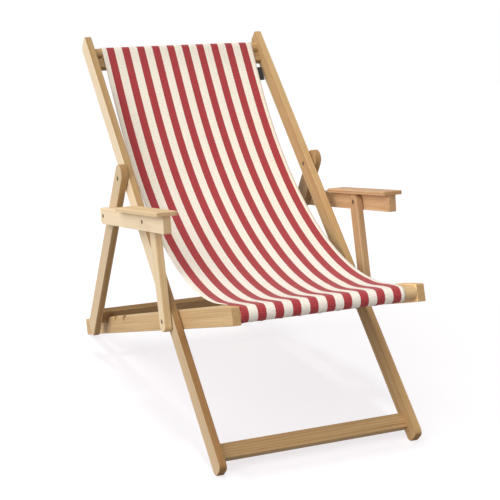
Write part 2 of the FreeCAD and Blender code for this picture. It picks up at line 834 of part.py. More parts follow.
class Hanging:
    """Side view curve of the canvas: a free hang between the front bar and the round bar."""

    def __init__(self):
        middle = size("cloth_thickness").value / 2 + size("cloth_clearance").value
        start_u, _, low_v, end_v = (number.value for number in front_bar_section())
        nose = size("front_bar_radius").value
        self.nose_radius = nose + middle
        self.upper_nose = links.on_seat(start_u + nose, end_v - nose)
        self.lower_nose = links.on_seat(start_u + nose, low_v + nose)
        self.front_angle = math.radians(size("cloth_front_angle").value)
        self.front = shifted(self.upper_nose, self.front_angle + math.pi / 2, self.nose_radius)
        self.bar = links.on_long(*[number.value for number in top_bar_centre()])
        self.radius = size("top_bar_radius").value + middle
        self.top_angle = math.radians(size("cloth_top_angle").value)
        self.top = shifted(self.bar, self.top_angle + math.pi / 2, self.radius)
        self.curve = self.hang()

    def hang(self):
        """A smooth curve that leaves both bars at a tangent and sags by the given shares."""
        span = math.dist(self.front, self.top)
        chord = direction(self.front, self.top)
        points = [self.front]
        for share, sag in CANVAS_SAG:
            on_chord = shifted(self.front, chord, share * span)
            points.append(shifted(on_chord, chord - math.pi / 2, sag * span))
        points.append(self.top)
        curve = Part.BSplineCurve()
        curve.interpolate(
            Points=[vector(point) for point in points],
            InitialTangent=vector(along(self.front_angle)),
            FinalTangent=vector(along(self.top_angle)),
        )
        return curve

    def free_points(self, offset, count):
        """Points of the free hang from the front bar up to the round bar, moved off the middle."""
        points = []
        first, last = self.curve.FirstParameter, self.curve.LastParameter
        for step in range(count + 1):
            place = first + (last - first) * step / count
            point = self.curve.value(place)
            slope = self.curve.tangent(place)[0]
            angle = math.atan2(slope.z, slope.y)
            points.append(shifted((point.y, point.z), angle + math.pi / 2, offset))
        return points

    def below_bar(self, distance):
        """The point and slope of the free hang at a distance below the round bar."""
        run = self.curve.length() - distance
        place = self.curve.parameterAtDistance(run, self.curve.FirstParameter)
        point = self.curve.value(place)
        slope = self.curve.tangent(place)[0]
        return (point.y, point.z), math.atan2(slope.z, slope.y)


def arc_through(points):
    """Arcs through an odd number of points, two steps to each arc."""
    edges = []
    for index in range(0, len(points) - 2, 2):
        first, middle, last = (vector(point) for point in points[index : index + 3])
        edges.append(Part.Arc(first, middle, last).toShape())
    return edges


def line(first, last):
    return Part.LineSegment(vector(first), vector(last)).toShape()


def around(centre, radius, start, end):
    """An arc about a centre between two directions."""
    points = [shifted(centre, start + (end - start) * share, radius) for share in (0.0, 0.5, 1.0)]
    return Part.Arc(*[vector(point) for point in points]).toShape(), points[0], points[2]


def canvas_side(hang, offset):
    """One face of the canvas in side view, from the end under the front bar to the seam."""
    quarter = math.pi / 2
    up = links.seat + quarter
    radius = hang.nose_radius + offset
    leave = hang.front_angle + quarter
    upper, _, upper_end = around(hang.upper_nose, radius, leave, up + quarter)
    lower, lower_start, lower_end = around(hang.lower_nose, radius, up + quarter, up + 2 * quarter)
    under = shifted(lower_end, links.seat, size("front_wrap_below").value)
    points = hang.free_points(offset, HANG_STEPS)
    turn = math.pi + 2 * math.atan(hang.radius / size("hem_length").value)
    first = hang.top_angle + quarter
    loop, _, loop_end = around(hang.bar, hang.radius + offset, first, first - turn)
    seam = shifted(loop_end, first - turn - quarter, size("hem_length").value)
    edges = [line(under, lower_end), lower, line(lower_start, upper_end), upper]
    edges += arc_through(points) + [loop]
    return edges, under, loop_end, seam


def cloth_half_width():
    return half_widths["seat"] - size("cloth_side_gap")


def canvas_front_cutter(hang, reach):
    """Wedge beside the canvas that narrows its right edge toward the front bar."""
    wide = cloth_half_width().value
    narrow = (half_widths["seat"] - size("cloth_front_gap")).value
    front = hang.front[0]
    start = front + size("cloth_taper_length").value
    corners = [
        FreeCAD.Vector(wide, start, -reach),
        FreeCAD.Vector(narrow, front, -reach),
        FreeCAD.Vector(narrow, front - reach, -reach),
        FreeCAD.Vector(wide + reach, front - reach, -reach),
        FreeCAD.Vector(wide + reach, start, -reach),
    ]
    face = Part.Face(Part.makePolygon(corners + [corners[0]]))
    return face.extrude(FreeCAD.Vector(0, 0, 4 * reach))


def sling():
    """The canvas as one closed solid: wrap, free hang, loop and the hem that closes the loop."""
    hang = Hanging()
    half = size("cloth_thickness").value / 2
    wide = cloth_half_width().value
    upper, upper_start, upper_end, upper_seam = canvas_side(hang, half)
    lower, lower_start, lower_end, lower_seam = canvas_side(hang, -half)
    edges = upper + [line(upper_end, lower_end)] + lower + [line(lower_start, upper_start)]
    strip = Part.Face(Part.Wire(Part.__sortEdges__(edges)))
    hem_corners = [vector(point) for point in (upper_end, lower_end, lower_seam, upper_seam)]
    hem = Part.Face(Part.makePolygon(hem_corners + [hem_corners[0]]))
    width = FreeCAD.Vector(2 * wide, 0, 0)
    solid = strip.extrude(width).fuse(hem.extrude(width)).removeSplitter()
    solid.translate(FreeCAD.Vector(-wide, 0, 0))
    solid = solid.cut(canvas_front_cutter(hang, hang.top[0]))
    item = document.addObject("Part::Feature", "sling")
    item.Shape = solid.Solids[0]
    return keep(item, "sling", placed(links.main)), hang


def sling_tab(hang):
    """A small plain tab sewn under the right edge of the canvas, below the loop."""
    run = size("tab_below_bar") + size("tab_length") / 2
    middle, angle = hang.below_bar(run.value)
    half = size("cloth_thickness").value / 2
    box = document.addObject("Part::Box", "sling_tab")
    box.setExpression("Length", size("tab_width").text)
    box.setExpression("Width", size("tab_length").text)
    box.setExpression("Height", size("tab_thickness").text)
    drop = half + (size("cloth_clearance") + size("tab_thickness")).value
    corner = shifted(middle, angle + math.pi, size("tab_length").value / 2)
    corner = shifted(corner, angle - math.pi / 2, drop)
    sideways = (cloth_half_width() - size("tab_width") + size("tab_overhang")).value
    return keep(box, "sling_tab", placed(corner, angle, sideways))


def centre_on_floor():
    """Moves every piece so that the whole chair stands on the floor about the origin."""
    document.recompute()
    whole = FreeCAD.BoundBox()
    for item in NODES:
        whole.add(item.Shape.BoundBox)
    shift = FreeCAD.Vector(0, -(whole.YMin + whole.YMax) / 2, links.height)
    for item in NODES:
        moved_placement = FreeCAD.Placement(item.Placement)
        moved_placement.Base = item.Placement.Base + shift
        item.Placement = moved_placement
    document.recompute()
    return shift


def check_and_write():
    os.makedirs("parts", exist_ok=True)
    for item in document.Objects:
        if "Invalid" in item.State or "Error" in item.State:
            raise ValueError("%s is %s" % (item.Label, item.State))
    for item in NODES:
        if item.Shape.isNull() or not item.Shape.isValid():
            raise ValueError("%s has no valid shape" % item.Label)
    for item in NODES:
        item.Shape.exportStep("parts/%s.step" % item.Label)
        print(item.Label, len(item.Shape.Solids), round(item.Shape.Volume))


fill_sheet()
links = Linkage()
half_widths = {"seat": size("inner_width") / 2}
half_widths["long"] = half_widths["seat"] + size("seat_rail_thickness") + size("pivot_gap")
half_widths["outer"] = half_widths["long"] + size("long_rail_thickness") + size("pivot_gap")
half_widths["arm"] = half_widths["outer"] + size("leg_thickness") + size("pivot_gap")

for side in (-1, 1):
    long_rail(side)
    seat_rail(side)
    prop_leg(side)
    arm_post(side)
    arm_rail(side)
    armrest(side)

long_place = placed(links.main, links.long)
stretcher("floor_bar", floor_bar_section(), half_widths["long"], long_place)
stretcher("top_rail", top_rail_section(), half_widths["long"], long_place)
top_bar()
front_corners = [
    (front_bar_section()[0], front_bar_section()[2]),
    (front_bar_section()[0], front_bar_section()[3]),
]
stretcher(
    "seat_front_bar",
    front_bar_section(),
    half_widths["seat"],
    placed(links.main, links.seat),
    front_corners,
    size("front_bar_radius"),
)
stretcher("prop_bar", prop_bar_section(), half_widths["outer"], placed(links.prop, links.leg))
fasteners()
canvas, hanging = sling()
sling_tab(hanging)
floor_shift = centre_on_floor()
check_and_write()

for word in ("main", "prop", "rear_arm", "front_arm"):
    place = getattr(links, word)
    print("pivot", word, round(place[0] + floor_shift.y, 6), round(place[1] + floor_shift.z, 6))
for word in ("long", "seat", "leg", "arm", "post"):
    print("angle", word, round(math.degrees(getattr(links, word)), 6))
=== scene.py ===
import json
import math

import bpy
import numpy as np
from mathutils import Euler, Matrix, Vector


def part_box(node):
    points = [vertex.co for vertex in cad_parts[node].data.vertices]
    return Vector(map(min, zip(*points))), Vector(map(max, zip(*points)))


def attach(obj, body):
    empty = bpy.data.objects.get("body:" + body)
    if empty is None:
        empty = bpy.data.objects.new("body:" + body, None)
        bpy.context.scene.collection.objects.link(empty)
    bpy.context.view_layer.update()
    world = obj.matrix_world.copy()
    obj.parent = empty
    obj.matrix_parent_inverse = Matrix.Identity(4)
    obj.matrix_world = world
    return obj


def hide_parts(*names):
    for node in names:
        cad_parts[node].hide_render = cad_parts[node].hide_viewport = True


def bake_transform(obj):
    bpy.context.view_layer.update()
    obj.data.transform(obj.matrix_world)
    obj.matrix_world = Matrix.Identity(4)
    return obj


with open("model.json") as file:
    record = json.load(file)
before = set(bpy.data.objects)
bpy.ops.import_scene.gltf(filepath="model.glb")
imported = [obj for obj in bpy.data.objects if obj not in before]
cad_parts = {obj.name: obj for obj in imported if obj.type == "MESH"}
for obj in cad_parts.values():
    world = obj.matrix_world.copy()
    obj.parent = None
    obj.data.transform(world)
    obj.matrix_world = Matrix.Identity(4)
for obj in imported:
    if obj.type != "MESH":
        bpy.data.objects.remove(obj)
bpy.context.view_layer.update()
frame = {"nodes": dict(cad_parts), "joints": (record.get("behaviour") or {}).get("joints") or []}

# Side view angles of the folding frame, from the rear toward the top.
LONG_TILT = math.radians(41.743)
SEAT_TILT = math.radians(-18.536)
LEG_TILT = math.radians(-61.514)
ARM_TILT = math.radians(-10.094)
POST_TILT = math.radians(72.624)
CANVAS_TOP_TILT = math.radians(52.5)
CANVAS_FRONT_TILT = math.radians(-11.5)

# Canvas sizes, in metres: thickness, the wrap of the front bar, the loop and hem of the round bar.
CANVAS_THICK = 0.0016
LAYER_GAP = 0.0002
BAR_GAP = 0.0012
NOSE_RADIUS = 0.0155 + BAR_GAP
NOSE_FROM_PIVOT = -0.3155
NOSE_LOW = -0.001
NOSE_HIGH = 0.0
UNDER_FOLD = 0.030
ROUND_BAR_PLACE = (0.821, -0.007)
ROUND_BAR_RADIUS = 0.014 + BAR_GAP
HEM_DEPTH = 0.014
SEAM_BELOW_TOP = 0.019
PULL_BELOW_TOP = 0.014

# Its edges: the right one is drawn in at the front bar and spreads at the round bar.
HALF_WIDTH = 0.211
CANVAS_WIDTH = 2 * HALF_WIDTH
FRONT_RIGHT = 0.181
TAPER_LENGTH = 0.180
TAPER_POWER = 1.2
TOP_FLARE = 0.006
FLARE_RUN = 0.06

# Its hang: each sag is a share of the way between the bars and a depth as a share of it.
SAG_SHARES = ((0.114, 0.092), (0.29, 0.162), (0.569, 0.166), (0.809, 0.0935))
HOLD_RUN = 0.05
CUP_DEPTH = 0.0022
CUP_POWER = 7
SWELL_DEPTH = 0.0012
SWELL_ACROSS = 5.1
SWELL_SLANT = 2.3
SWELL_ALONG = 6.5
SWELL_START = 0.6
TOP_PUCKERS = {"depth": 0.00081, "run": 0.07, "waves": 38, "drift": 5, "turns": 9}
FRONT_PUCKERS = {"depth": 0.0009, "run": 0.06, "waves": 31, "drift": 4, "turns": 7}
ROW_STEP = 0.005
WRAP_STEP = 0.003
SAME_PLACE = 0.0004
HEM_STEPS = 8
COLUMNS = 96

# Stripes: ten red ones between cream ones, with a narrow cream edge at each side. Near the
# front bar the cloth is drawn to the left, where its cream edge is tucked down beside the rail.
EDGE_STRIPE = 0.0130
STRIPE_PERIOD = 0.0420
RED_STRIPE = 0.0210
STRIPE_JOG = 0.0014
STRIPE_FADE = 0.010
FRONT_TUCK = 0.016
TUCK_RUN = 0.250
THREAD_PITCH = 0.0011
LINT_PITCH = 0.0034

# Where the back's tint begins and where its top takes a painted shade, along the cloth from its
# tacked end.
BACK_BEGINS = (0.35, 0.75)
TOP_SHADE_SPAN = (1.06, 1.16)
TOP_SHADE_TONE = -0.09

# Stitches and staples.
CROSSWISE = (1.0, 0.0, 0.0)
STITCH_INSET = 0.004
THREAD_LIFT = 1.1
THREAD_SUNK = 0.45
THREAD_END = 0.35
HEM_STITCHES_BELOW_TOP = 0.0165
HEM_LIFT = CANVAS_THICK * 1.5 + LAYER_GAP
HEM_STITCH_SPACING = 0.0034
HEM_STITCH_LENGTH = 0.0027
HEM_STITCH_RADIUS = 0.0002
TACKED_FROM_END = 0.012
STAPLES = 9
STAPLE_INSET = 0.014

# The plain tab.
TAB_LENGTH = 0.040
TAB_WIDTH = 0.019
TAB_THICK = 0.0010
TAB_BELOW_BAR = 0.069
TAB_DROP = CANVAS_THICK / 2 + TAB_THICK / 2 + 0.0003
TAB_CURL = 0.0042
TAB_CURL_POWER = 1.6
TAB_UNCURLS = 0.25
TAB_FLAT_SHARE = 0.3
TAB_WAVE = 0.00012
TAB_FRAY = 0.0003
TAB_FRAYS = 5
TAB_SEAM_INSET = 0.0025
TAB_STITCH_INSET = 0.0014
TAB_STITCH_STEP = 0.0026
TAB_STITCH_LENGTH = 0.0021
TAB_STITCH_RADIUS = 0.00025

# Bolts: each ring of the head is a radius and its depth below the head's top.
BOLT_HEAD = ((0.0040, 0.0030), (0.0053, 0.0030), (0.0055, 0.0028), (0.0055, 0.0010),
             (0.0053, 0.0004), (0.0047, 0.0001), (0.0032, 0.0))
SHANK_RADIUS = 0.0040
KEY_FLATS = 0.0050
KEY_DEPTHS = (0.0003, 0.0020)
KEY_TURN = (0, 0.4, 1)
RING_POINTS = 24
SHARP_EDGE = math.radians(32)
BOLT_LENGTHS = {
    "main_bolts": 0.0582,
    "prop_bolts": 0.0362,
    "arm_front_bolt": 0.0372,
    "arm_rear_bolt": 0.0190,
}

# The studio: each lamp shines from a direction, with a strength and a spread in degrees.
LAMPS = {
    "ceiling_lamp": ((-0.08, 0.02, 1.0), 0.85, 8),
    "window_lamp": ((-0.80, -0.28, 0.53), 2.18, 60),
    "front_lamp": ((0.20, -0.85, 0.45), 0.30, 90),
}
AIR_LIGHT = 0.40
FLOOR_SHADE = (0.33, 0.33, 0.33, 1.0)
FLOOR_LIFT = (0.725, 0.70, 0.715, 1.0)
FLOOR_RADIUS = 7.0
FLOOR_SIDES = 96
FLOOR_FADES_FROM = 3.0
FLOOR_FADES_TO = 6.5
SENSOR_WIDTH = 36.0
LENS = 92.64
CLIP_END = 100.0
CAMERA_PLACE = (-1.2299, -2.8537, 1.2045)
CAMERA_TURNS = ((-24.03, "Z"), (74.75, "X"), (0.54, "Z"))

PIVOTS = {joint["name"]: Vector(joint["pos_m"]) for joint in frame["joints"]}
MAIN_PIVOT = (PIVOTS["seat_fold"].y, PIVOTS["seat_fold"].z)


def on_rail(tilt, distance, across):
    """A side view point at a distance along a rail from the main pivot, and across it."""
    step = (math.cos(tilt), math.sin(tilt))
    start_y, start_z = MAIN_PIVOT
    return np.array((
        start_y + distance * step[0] - across * step[1],
        start_z + distance * step[1] + across * step[0],
    ))


def heading(angle):
    return np.array((math.cos(angle), math.sin(angle)))


def colour(red, green, blue):
    """A colour read as eight bit values, as linear light."""
    def linear(value):
        share = value / 255
        return share / 12.92 if share <= 0.04045 else ((share + 0.055) / 1.055) ** 2.4
    return (linear(red), linear(green), linear(blue), 1.0)


WHITE = (1.0, 1.0, 1.0, 1.0)

# The grain's marks: turns to the metre through a board, along it and across it, then the fine
# detail and the roughness of the pattern.
WANDER = ((6.0, 1.7, 6.0), 2.0, 0.45)
FRAY = ((260.0, 14.0, 260.0), 3.0, 0.6)
FIBRES = ((1150.0, 17.0, 1150.0), 2.0, 0.62)
STREAKS = ((95.0, 2.6, 95.0), 3.0, 0.6)
PORES = ((1500.0, 75.0, 1500.0), 1.0, 0.5)
PATCHES = ((9.0, 3.4, 14.0), 3.0, 0.55)
SEED_STEP = (0.37, 1.91, 0.73)
BOARD_STEP = 1.37
KNOTS_ALONG = 3.2
KNOTS_ACROSS = 20.0
KNOT_SCATTER = 0.9
KNOT_DRAWN = 0.62
KNOT_RADIUS = 0.0014
KNOT_SPREAD = 0.0022
KNOT_BEND = 1.6
RING_WIDTH = 0.0042
RING_STEP = 0.55
RING_SPREAD = 1.6
RING_FRAY = 0.45
HEART_WANDER = 0.012

# Where each mark begins and where it is full.
EYE_RIM = (0.5, 1.5)
SWIRL_RIM = (0.6, 4.5)
LATE_GROWS = (0.25, 0.86)
LATE_STOPS = (0.90, 1.0)
PORE_OPENS = (0.66, 0.78)
SAWN_FACE = (0.55, 0.85)
WIDE_FACE = (0.45, 0.9)
# The band of the worn edges, which also carries a painted highlight.
WORN_HIGHLIGHT_EDGE = (0.0008, 0.0036)
# Where the painted shade below the seat begins and where it is full.
LOW_END = (-0.30, -0.16)
FOOT_BELOW = -0.58

# How much one mark counts, or a factor and a base where it changes with another.
LATE_SHARE = 0.7
LATE_BY_PATCH = (0.6, 0.25)
FIBRE_SHARE = 0.42
STREAK_SHARE = (1.3, -0.70)
WORN_HIGHLIGHT_BY_STREAK = (0.9, 0.2)
PATCH_TONE = 0.22
# Painted light on outer faces is weakened where the painted shade below the seat falls.
PAINTED_LIGHT_BY_LOW_SHADE = (-0.65, 1.0)
# The painted shade below the seat is kept off the outer faces.
LOW_SHADE_OUTSIDE = (-0.8, 1.0)
FOOT_SHARE = 0.35
END_SHARE = 0.4
TIMBER_ROUGH = {"fibre": 0.16, "end": 0.15, "worn": -0.1}
TIMBER_HEIGHT = {"late": 0.35, "fibre": 0.55, "pore": -0.6, "eye": 0.5}

# A mark is a colour and how strongly it shows.
PORE_MARK = (colour(126, 92, 54), 0.33)
SWIRL_MARK = (colour(176, 128, 76), 0.28)
EYE_MARK = (colour(104, 68, 38), 0.8)
# Worn edges: partly real wear, partly a painted highlight.
WORN_HIGHLIGHT_MARK = (colour(243, 222, 184), 0.30)
# Colour of the painted light on outer faces.
PAINTED_LIGHT_COLOUR = colour(250, 230, 196)
# Colour of the painted shade on the long rails below the seat.
LOW_SHADE_COLOUR = colour(218, 198, 176)
SAWN_END = colour(158, 116, 72)
SAWN_FOOT = colour(70, 50, 34)

# Yarns are a dark and a pale dye.
RED_YARNS = (colour(155, 42, 45), colour(191, 70, 73))
RED_WASH = (colour(184, 66, 70), 0.35)
CREAM_YARNS = (colour(249, 233, 216), colour(255, 251, 241))
CREAM_WASH = (colour(251, 234, 221), 0.3)
# Tints of the back: a warmer cream, and a painted shade on the reds.
BACK_TINT_AND_SHADE = (colour(254, 254, 249), colour(250, 246, 250))

# Patterns of the yarns: steps across and along, a layer, the fine detail and the roughness.
JOG = ((0.3, 0.5), 0.0, 1.0, 0.5)
SLUB_WARP = ((1.0, 0.05), 3.0, 1.0, 0.5)
SLUB_WEFT = ((0.05, 1.0), 7.0, 1.0, 0.5)
FLECK = ((0.42, 0.42), 11.0, 2.0, 0.7)
WASH = ((5.0, 7.0), 0.0, 3.0, 0.5)
LINT = ((CANVAS_WIDTH / LINT_PITCH, 1.0 / LINT_PITCH), 5.0, 1.0, 0.5)
FLECK_SHARE = (0.8, -0.4)
LINT_SHARE = (0.60, 0.46)
THREAD_SHADE = (0.12, 0.93)
THREAD_ROUGH = (-0.12, 0.93)
OVER_HEIGHT = 0.35
YARN_HEIGHT = 0.5
DYE_SPOTS = 900.0
TAPE_DYE = 0.7
TAPE_WEAVE = (0.2, 0.1)

# Steel: marks of the lathe, and tarnish in spots.
TURNING_MARKS = ((300.0, 4000.0, 4000.0), 2.0, 0.5)
TARNISH_SPOTS = (320.0, 3.0, 0.6)
TARNISH_BEGINS = (0.42, 0.72)
TARNISH_SHARE = 0.6
TARNISH_ROUGH = 0.25
TURNED_ROUGH = (0.14, 0.3)

# Relief of each finish: its strength and its depth.
TIMBER_RELIEF = (0.35, 0.0004)
CANVAS_RELIEF = (0.5, 0.0005)
TAPE_RELIEF = (0.4, 0.0003)
STEEL_RELIEF = (0.15, 0.0001)

TIMBER_INPUTS = {
    "NodeSocketVector": ("place", "facing", "run", "outward", "heart"),
    "NodeSocketColor": ("pale", "ring"),
    # Three of these are shares of painted light on outer faces, painted shade on inner faces and
    # painted shade below the seat.
    "NodeSocketFloat": ("seed", "ring_width", "half_thickness", "half_width", "knots", "bleach",
                        "inner_oil", "low_tone"),
}
TIMBER_OUTPUTS = {
    "Color": "NodeSocketColor",
    "Roughness": "NodeSocketFloat",
    "Height": "NodeSocketFloat",
}

# Places of the sockets that share a name with others on their node.
COLOUR_SHARE, COLOUR_FIRST, COLOUR_SECOND, COLOUR_MIXED = 0, 6, 7, 2
LEAST, MOST, DRAWN = 2, 3, 1


class Recipe:
    """Adds nodes to one tree and joins them as they are added."""

    def __init__(self, tree):
        self.tree = tree
        tree.nodes.clear()

    def add(self, kind, values=None, **settings):
        node = self.tree.nodes.new(kind)
        for word, setting in settings.items():
            setattr(node, word, setting)
        for socket, value in (values or {}).items():
            if isinstance(value, bpy.types.NodeSocket):
                self.tree.links.new(value, node.inputs[socket])
            else:
                node.inputs[socket].default_value = value
        return node

    def number(self, operation, *terms, clamp=False):
        values = dict(enumerate(terms))
        return self.add("ShaderNodeMath", values, operation=operation, use_clamp=clamp).outputs[0]

    def plus(self, first, second, clamp=False):
        return self.number("ADD", first, second, clamp=clamp)

    def minus(self, first, second):
        return self.number("SUBTRACT", first, second)

    def times(self, first, second):
        return self.number("MULTIPLY", first, second)

    def scaled(self, value, factor, base, clamp=False):
        """The value times a factor, on top of a base."""
        return self.number("MULTIPLY_ADD", value, factor, base, clamp=clamp)

    def vector(self, operation, *terms):
        node = self.add("ShaderNodeVectorMath", dict(enumerate(terms)), operation=operation)
        return node.outputs["Value" if operation in ("LENGTH", "DOT_PRODUCT") else "Vector"]

    def parts(self, vector):
        return self.add("ShaderNodeSeparateXYZ", {0: vector}).outputs

    def join(self, *parts):
        return self.add("ShaderNodeCombineXYZ", dict(enumerate(parts))).outputs[0]

    def noise(self, place, scale=1.0, detail=2.0, rough=0.5):
        values = {"Vector": place, "Scale": scale, "Detail": detail, "Roughness": rough}
        return self.add("ShaderNodeTexNoise", values).outputs["Fac"]

    def grain(self, place, stretch, detail, rough):
        """Noise drawn out by its own factor on each axis."""
        return self.noise(self.vector("MULTIPLY", place, stretch), 1.0, detail, rough)

    def cast(self, first, second, steps, layer, detail, rough):
        """Noise over two lengths, each times its own step, on a layer of its own."""
        place = self.join(self.times(first, steps[0]), self.times(second, steps[1]), layer)
        return self.noise(place, 1.0, detail, rough)

    def rise(self, value, low, high):
        """Goes smoothly from 0 at the low value to 1 at the high one."""
        values = {"Value": value, "From Min": low, "From Max": high}
        return self.add("ShaderNodeMapRange", values, interpolation_type="SMOOTHSTEP").outputs[0]

    def fall(self, value, low, high):
        """Goes smoothly from 1 at the low value to 0 at the high one."""
        return self.minus(1.0, self.rise(value, low, high))

    def tint(self, share, first, second, kind="MIX"):
        """A mix of two colours."""
        values = {COLOUR_SHARE: share, COLOUR_FIRST: first, COLOUR_SECOND: second}
        mixed = self.add("ShaderNodeMix", values, data_type="RGBA", blend_type=kind)
        return mixed.outputs[COLOUR_MIXED]

    def stain(self, ground, where, mark):
        """Lays a mark over a ground, where its share says so."""
        dye, strength = mark
        return self.tint(self.times(where, strength), ground, dye)

    def dim(self, ground, tone):
        """A ground made lighter or darker by a tone."""
        return self.tint(1.0, ground, self.join(tone, tone, tone), "MULTIPLY")

    def seen(self):
        """One where the camera, a reflection or a clear piece looks, otherwise nothing."""
        rays = self.add("ShaderNodeLightPath").outputs
        mirrored = self.number("MAXIMUM", rays["Is Glossy Ray"], rays["Is Transmission Ray"])
        return self.number("MAXIMUM", rays["Is Camera Ray"], mirrored)

    def surface(self, height, relief, values):
        """Ends a finish with its relief and its surface."""
        bump = {"Height": height, "Strength": relief[0], "Distance": relief[1]}
        normal = self.add("ShaderNodeBump", bump).outputs[0]
        skin = self.add("ShaderNodeBsdfPrincipled", {"Normal": normal, **values})
        self.add("ShaderNodeOutputMaterial", {"Surface": skin.outputs[0]})


def new_finish(name):
    finish = bpy.data.materials.new(name)
    finish.use_nodes = True
    return finish, Recipe(finish.node_tree)


def planed_timber():
    """The wood pattern of every board: rings cut lengthwise, fibres, pores, knots, worn edges with
    a painted highlight, and painted light and shade on some faces.

    The pattern's x runs through the board's thickness, y along its length and z across it."""
    group = bpy.data.node_groups.new("planed_timber", "ShaderNodeTree")
    for kind, words in TIMBER_INPUTS.items():
        for word in words:
            group.interface.new_socket(word, in_out="INPUT", socket_type=kind)
    for word, kind in TIMBER_OUTPUTS.items():
        group.interface.new_socket(word, in_out="OUTPUT", socket_type=kind)
    mix = Recipe(group)
    given = mix.add("NodeGroupInput").outputs
    place, seed = given["place"], given["seed"]
    shift = mix.add("ShaderNodeVectorMath", {0: SEED_STEP, "Scale": seed}, operation="SCALE")
    moved = mix.vector("ADD", place, shift.outputs["Vector"])
    _, y, z = mix.parts(moved)
    own_x, own_y, own_z = mix.parts(place)

    # Knots: a few round centres, each seen on the wide faces.
    flat = mix.join(mix.times(y, KNOTS_ALONG), mix.times(z, KNOTS_ACROSS), 0.0)
    cell = mix.add("ShaderNodeTexVoronoi", {"Vector": flat, "Scale": 1.0,
                                            "Randomness": KNOT_SCATTER}, voronoi_dimensions="2D")
    centre_y, centre_z, _ = mix.parts(cell.outputs["Position"])
    off_y = mix.minus(y, mix.number("DIVIDE", centre_y, KNOTS_ALONG))
    off_z = mix.minus(z, mix.number("DIVIDE", centre_z, KNOTS_ACROSS))
    chance, _, bulk = mix.parts(cell.outputs["Color"])
    off = mix.vector("LENGTH", mix.join(mix.times(off_y, KNOT_DRAWN), off_z, 0.0))
    chosen = mix.number("LESS_THAN", chance, given["knots"])
    near = mix.number("DIVIDE", off, mix.scaled(bulk, KNOT_SPREAD, KNOT_RADIUS))
    eye = mix.times(mix.fall(near, *EYE_RIM), chosen)
    swirl = mix.fall(near, *SWIRL_RIM)
    swirl = mix.times(mix.times(swirl, swirl), chosen)

    # Rings about a heart that lies outside the board and wanders along it.
    heart_x, _, heart_z = mix.parts(given["heart"])
    wander = mix.scaled(mix.grain(moved, *WANDER), HEART_WANDER, -HEART_WANDER / 2)
    ring_x = mix.plus(mix.minus(own_x, heart_x), wander)
    ring_z = mix.minus(own_z, heart_z)
    distance = mix.vector("LENGTH", mix.join(ring_x, 0.0, ring_z))
    rings = mix.number("DIVIDE", distance, given["ring_width"])
    uneven = mix.noise(mix.join(rings, 0.0, seed), RING_STEP, 1.0)
    rings = mix.plus(rings, mix.times(uneven, RING_SPREAD))
    rings = mix.scaled(swirl, KNOT_BEND, rings)
    rings = mix.scaled(mix.grain(moved, *FRAY), RING_FRAY, rings)
    turn = mix.number("FRACT", rings)
    late = mix.times(mix.rise(turn, *LATE_GROWS), mix.fall(turn, *LATE_STOPS))

    # Fibres and pores, drawn out along the board.
    fibre = mix.grain(moved, *FIBRES)
    streak = mix.grain(moved, *STREAKS)
    pore = mix.rise(mix.grain(moved, *PORES), *PORE_OPENS)
    patch = mix.grain(moved, *PATCHES)

    # Sawn ends take up more oil and show the rings as arcs.
    facing = mix.vector("DOT_PRODUCT", given["facing"], given["run"])
    end = mix.rise(mix.number("ABSOLUTE", facing), *SAWN_FACE)

    # Handling wears the long edges smooth, and they are paler, partly from wear and partly as a
    # painted highlight.
    side = mix.minus(given["half_thickness"], mix.number("ABSOLUTE", own_x))
    rim = mix.minus(given["half_width"], mix.number("ABSOLUTE", own_z))
    worn = mix.fall(mix.plus(side, rim), *WORN_HIGHLIGHT_EDGE)
    worn = mix.times(worn, mix.scaled(streak, *WORN_HIGHLIGHT_BY_STREAK, clamp=True))

    # The colour goes from pale to ring colour with the late wood, the fibres and the streaks.
    late_wood = mix.times(late, mix.scaled(patch, *LATE_BY_PATCH))
    amount = mix.scaled(late_wood, LATE_SHARE, mix.times(fibre, FIBRE_SHARE))
    amount = mix.plus(amount, mix.scaled(streak, *STREAK_SHARE), clamp=True)
    wood = mix.tint(amount, given["pale"], given["ring"])
    wood = mix.dim(wood, mix.scaled(mix.minus(patch, 0.5), PATCH_TONE, 1.0))
    wood = mix.stain(wood, pore, PORE_MARK)
    wood = mix.stain(wood, swirl, SWIRL_MARK)
    wood = mix.stain(wood, eye, EYE_MARK)

    # Painted light makes the outer faces paler, and the inner ones take a painted shade, which a
    # negative share turns into painted light. Below the seat the long rails take a painted shade,
    # except on their outer faces.
    outward = mix.vector("DOT_PRODUCT", given["facing"], given["outward"])
    open_side = mix.rise(outward, *WIDE_FACE)
    inward = mix.rise(mix.times(outward, -1.0), *WIDE_FACE)
    # Painted shade on the lower part of the long rails, below the seat.
    low = mix.times(mix.fall(own_y, *LOW_END), given["low_tone"])
    bleach = mix.times(mix.times(open_side, given["bleach"]), mix.scaled(low, *PAINTED_LIGHT_BY_LOW_SHADE))
    low = mix.times(low, mix.scaled(open_side, *LOW_SHADE_OUTSIDE))
    wood = mix.tint(bleach, wood, PAINTED_LIGHT_COLOUR)
    # Inner faces take a painted shade, or painted light where the share is negative.
    wood = mix.dim(wood, mix.minus(1.0, mix.times(inward, given["inner_oil"])))
    wood = mix.tint(low, wood, mix.tint(1.0, wood, LOW_SHADE_COLOUR, "MULTIPLY"))
    wood = mix.stain(wood, worn, WORN_HIGHLIGHT_MARK)
    foot = mix.times(mix.number("LESS_THAN", own_y, FOOT_BELOW), FOOT_SHARE)
    soaked = mix.times(end, mix.plus(foot, END_SHARE))
    wood = mix.tint(soaked, wood, mix.tint(foot, SAWN_END, SAWN_FOOT))

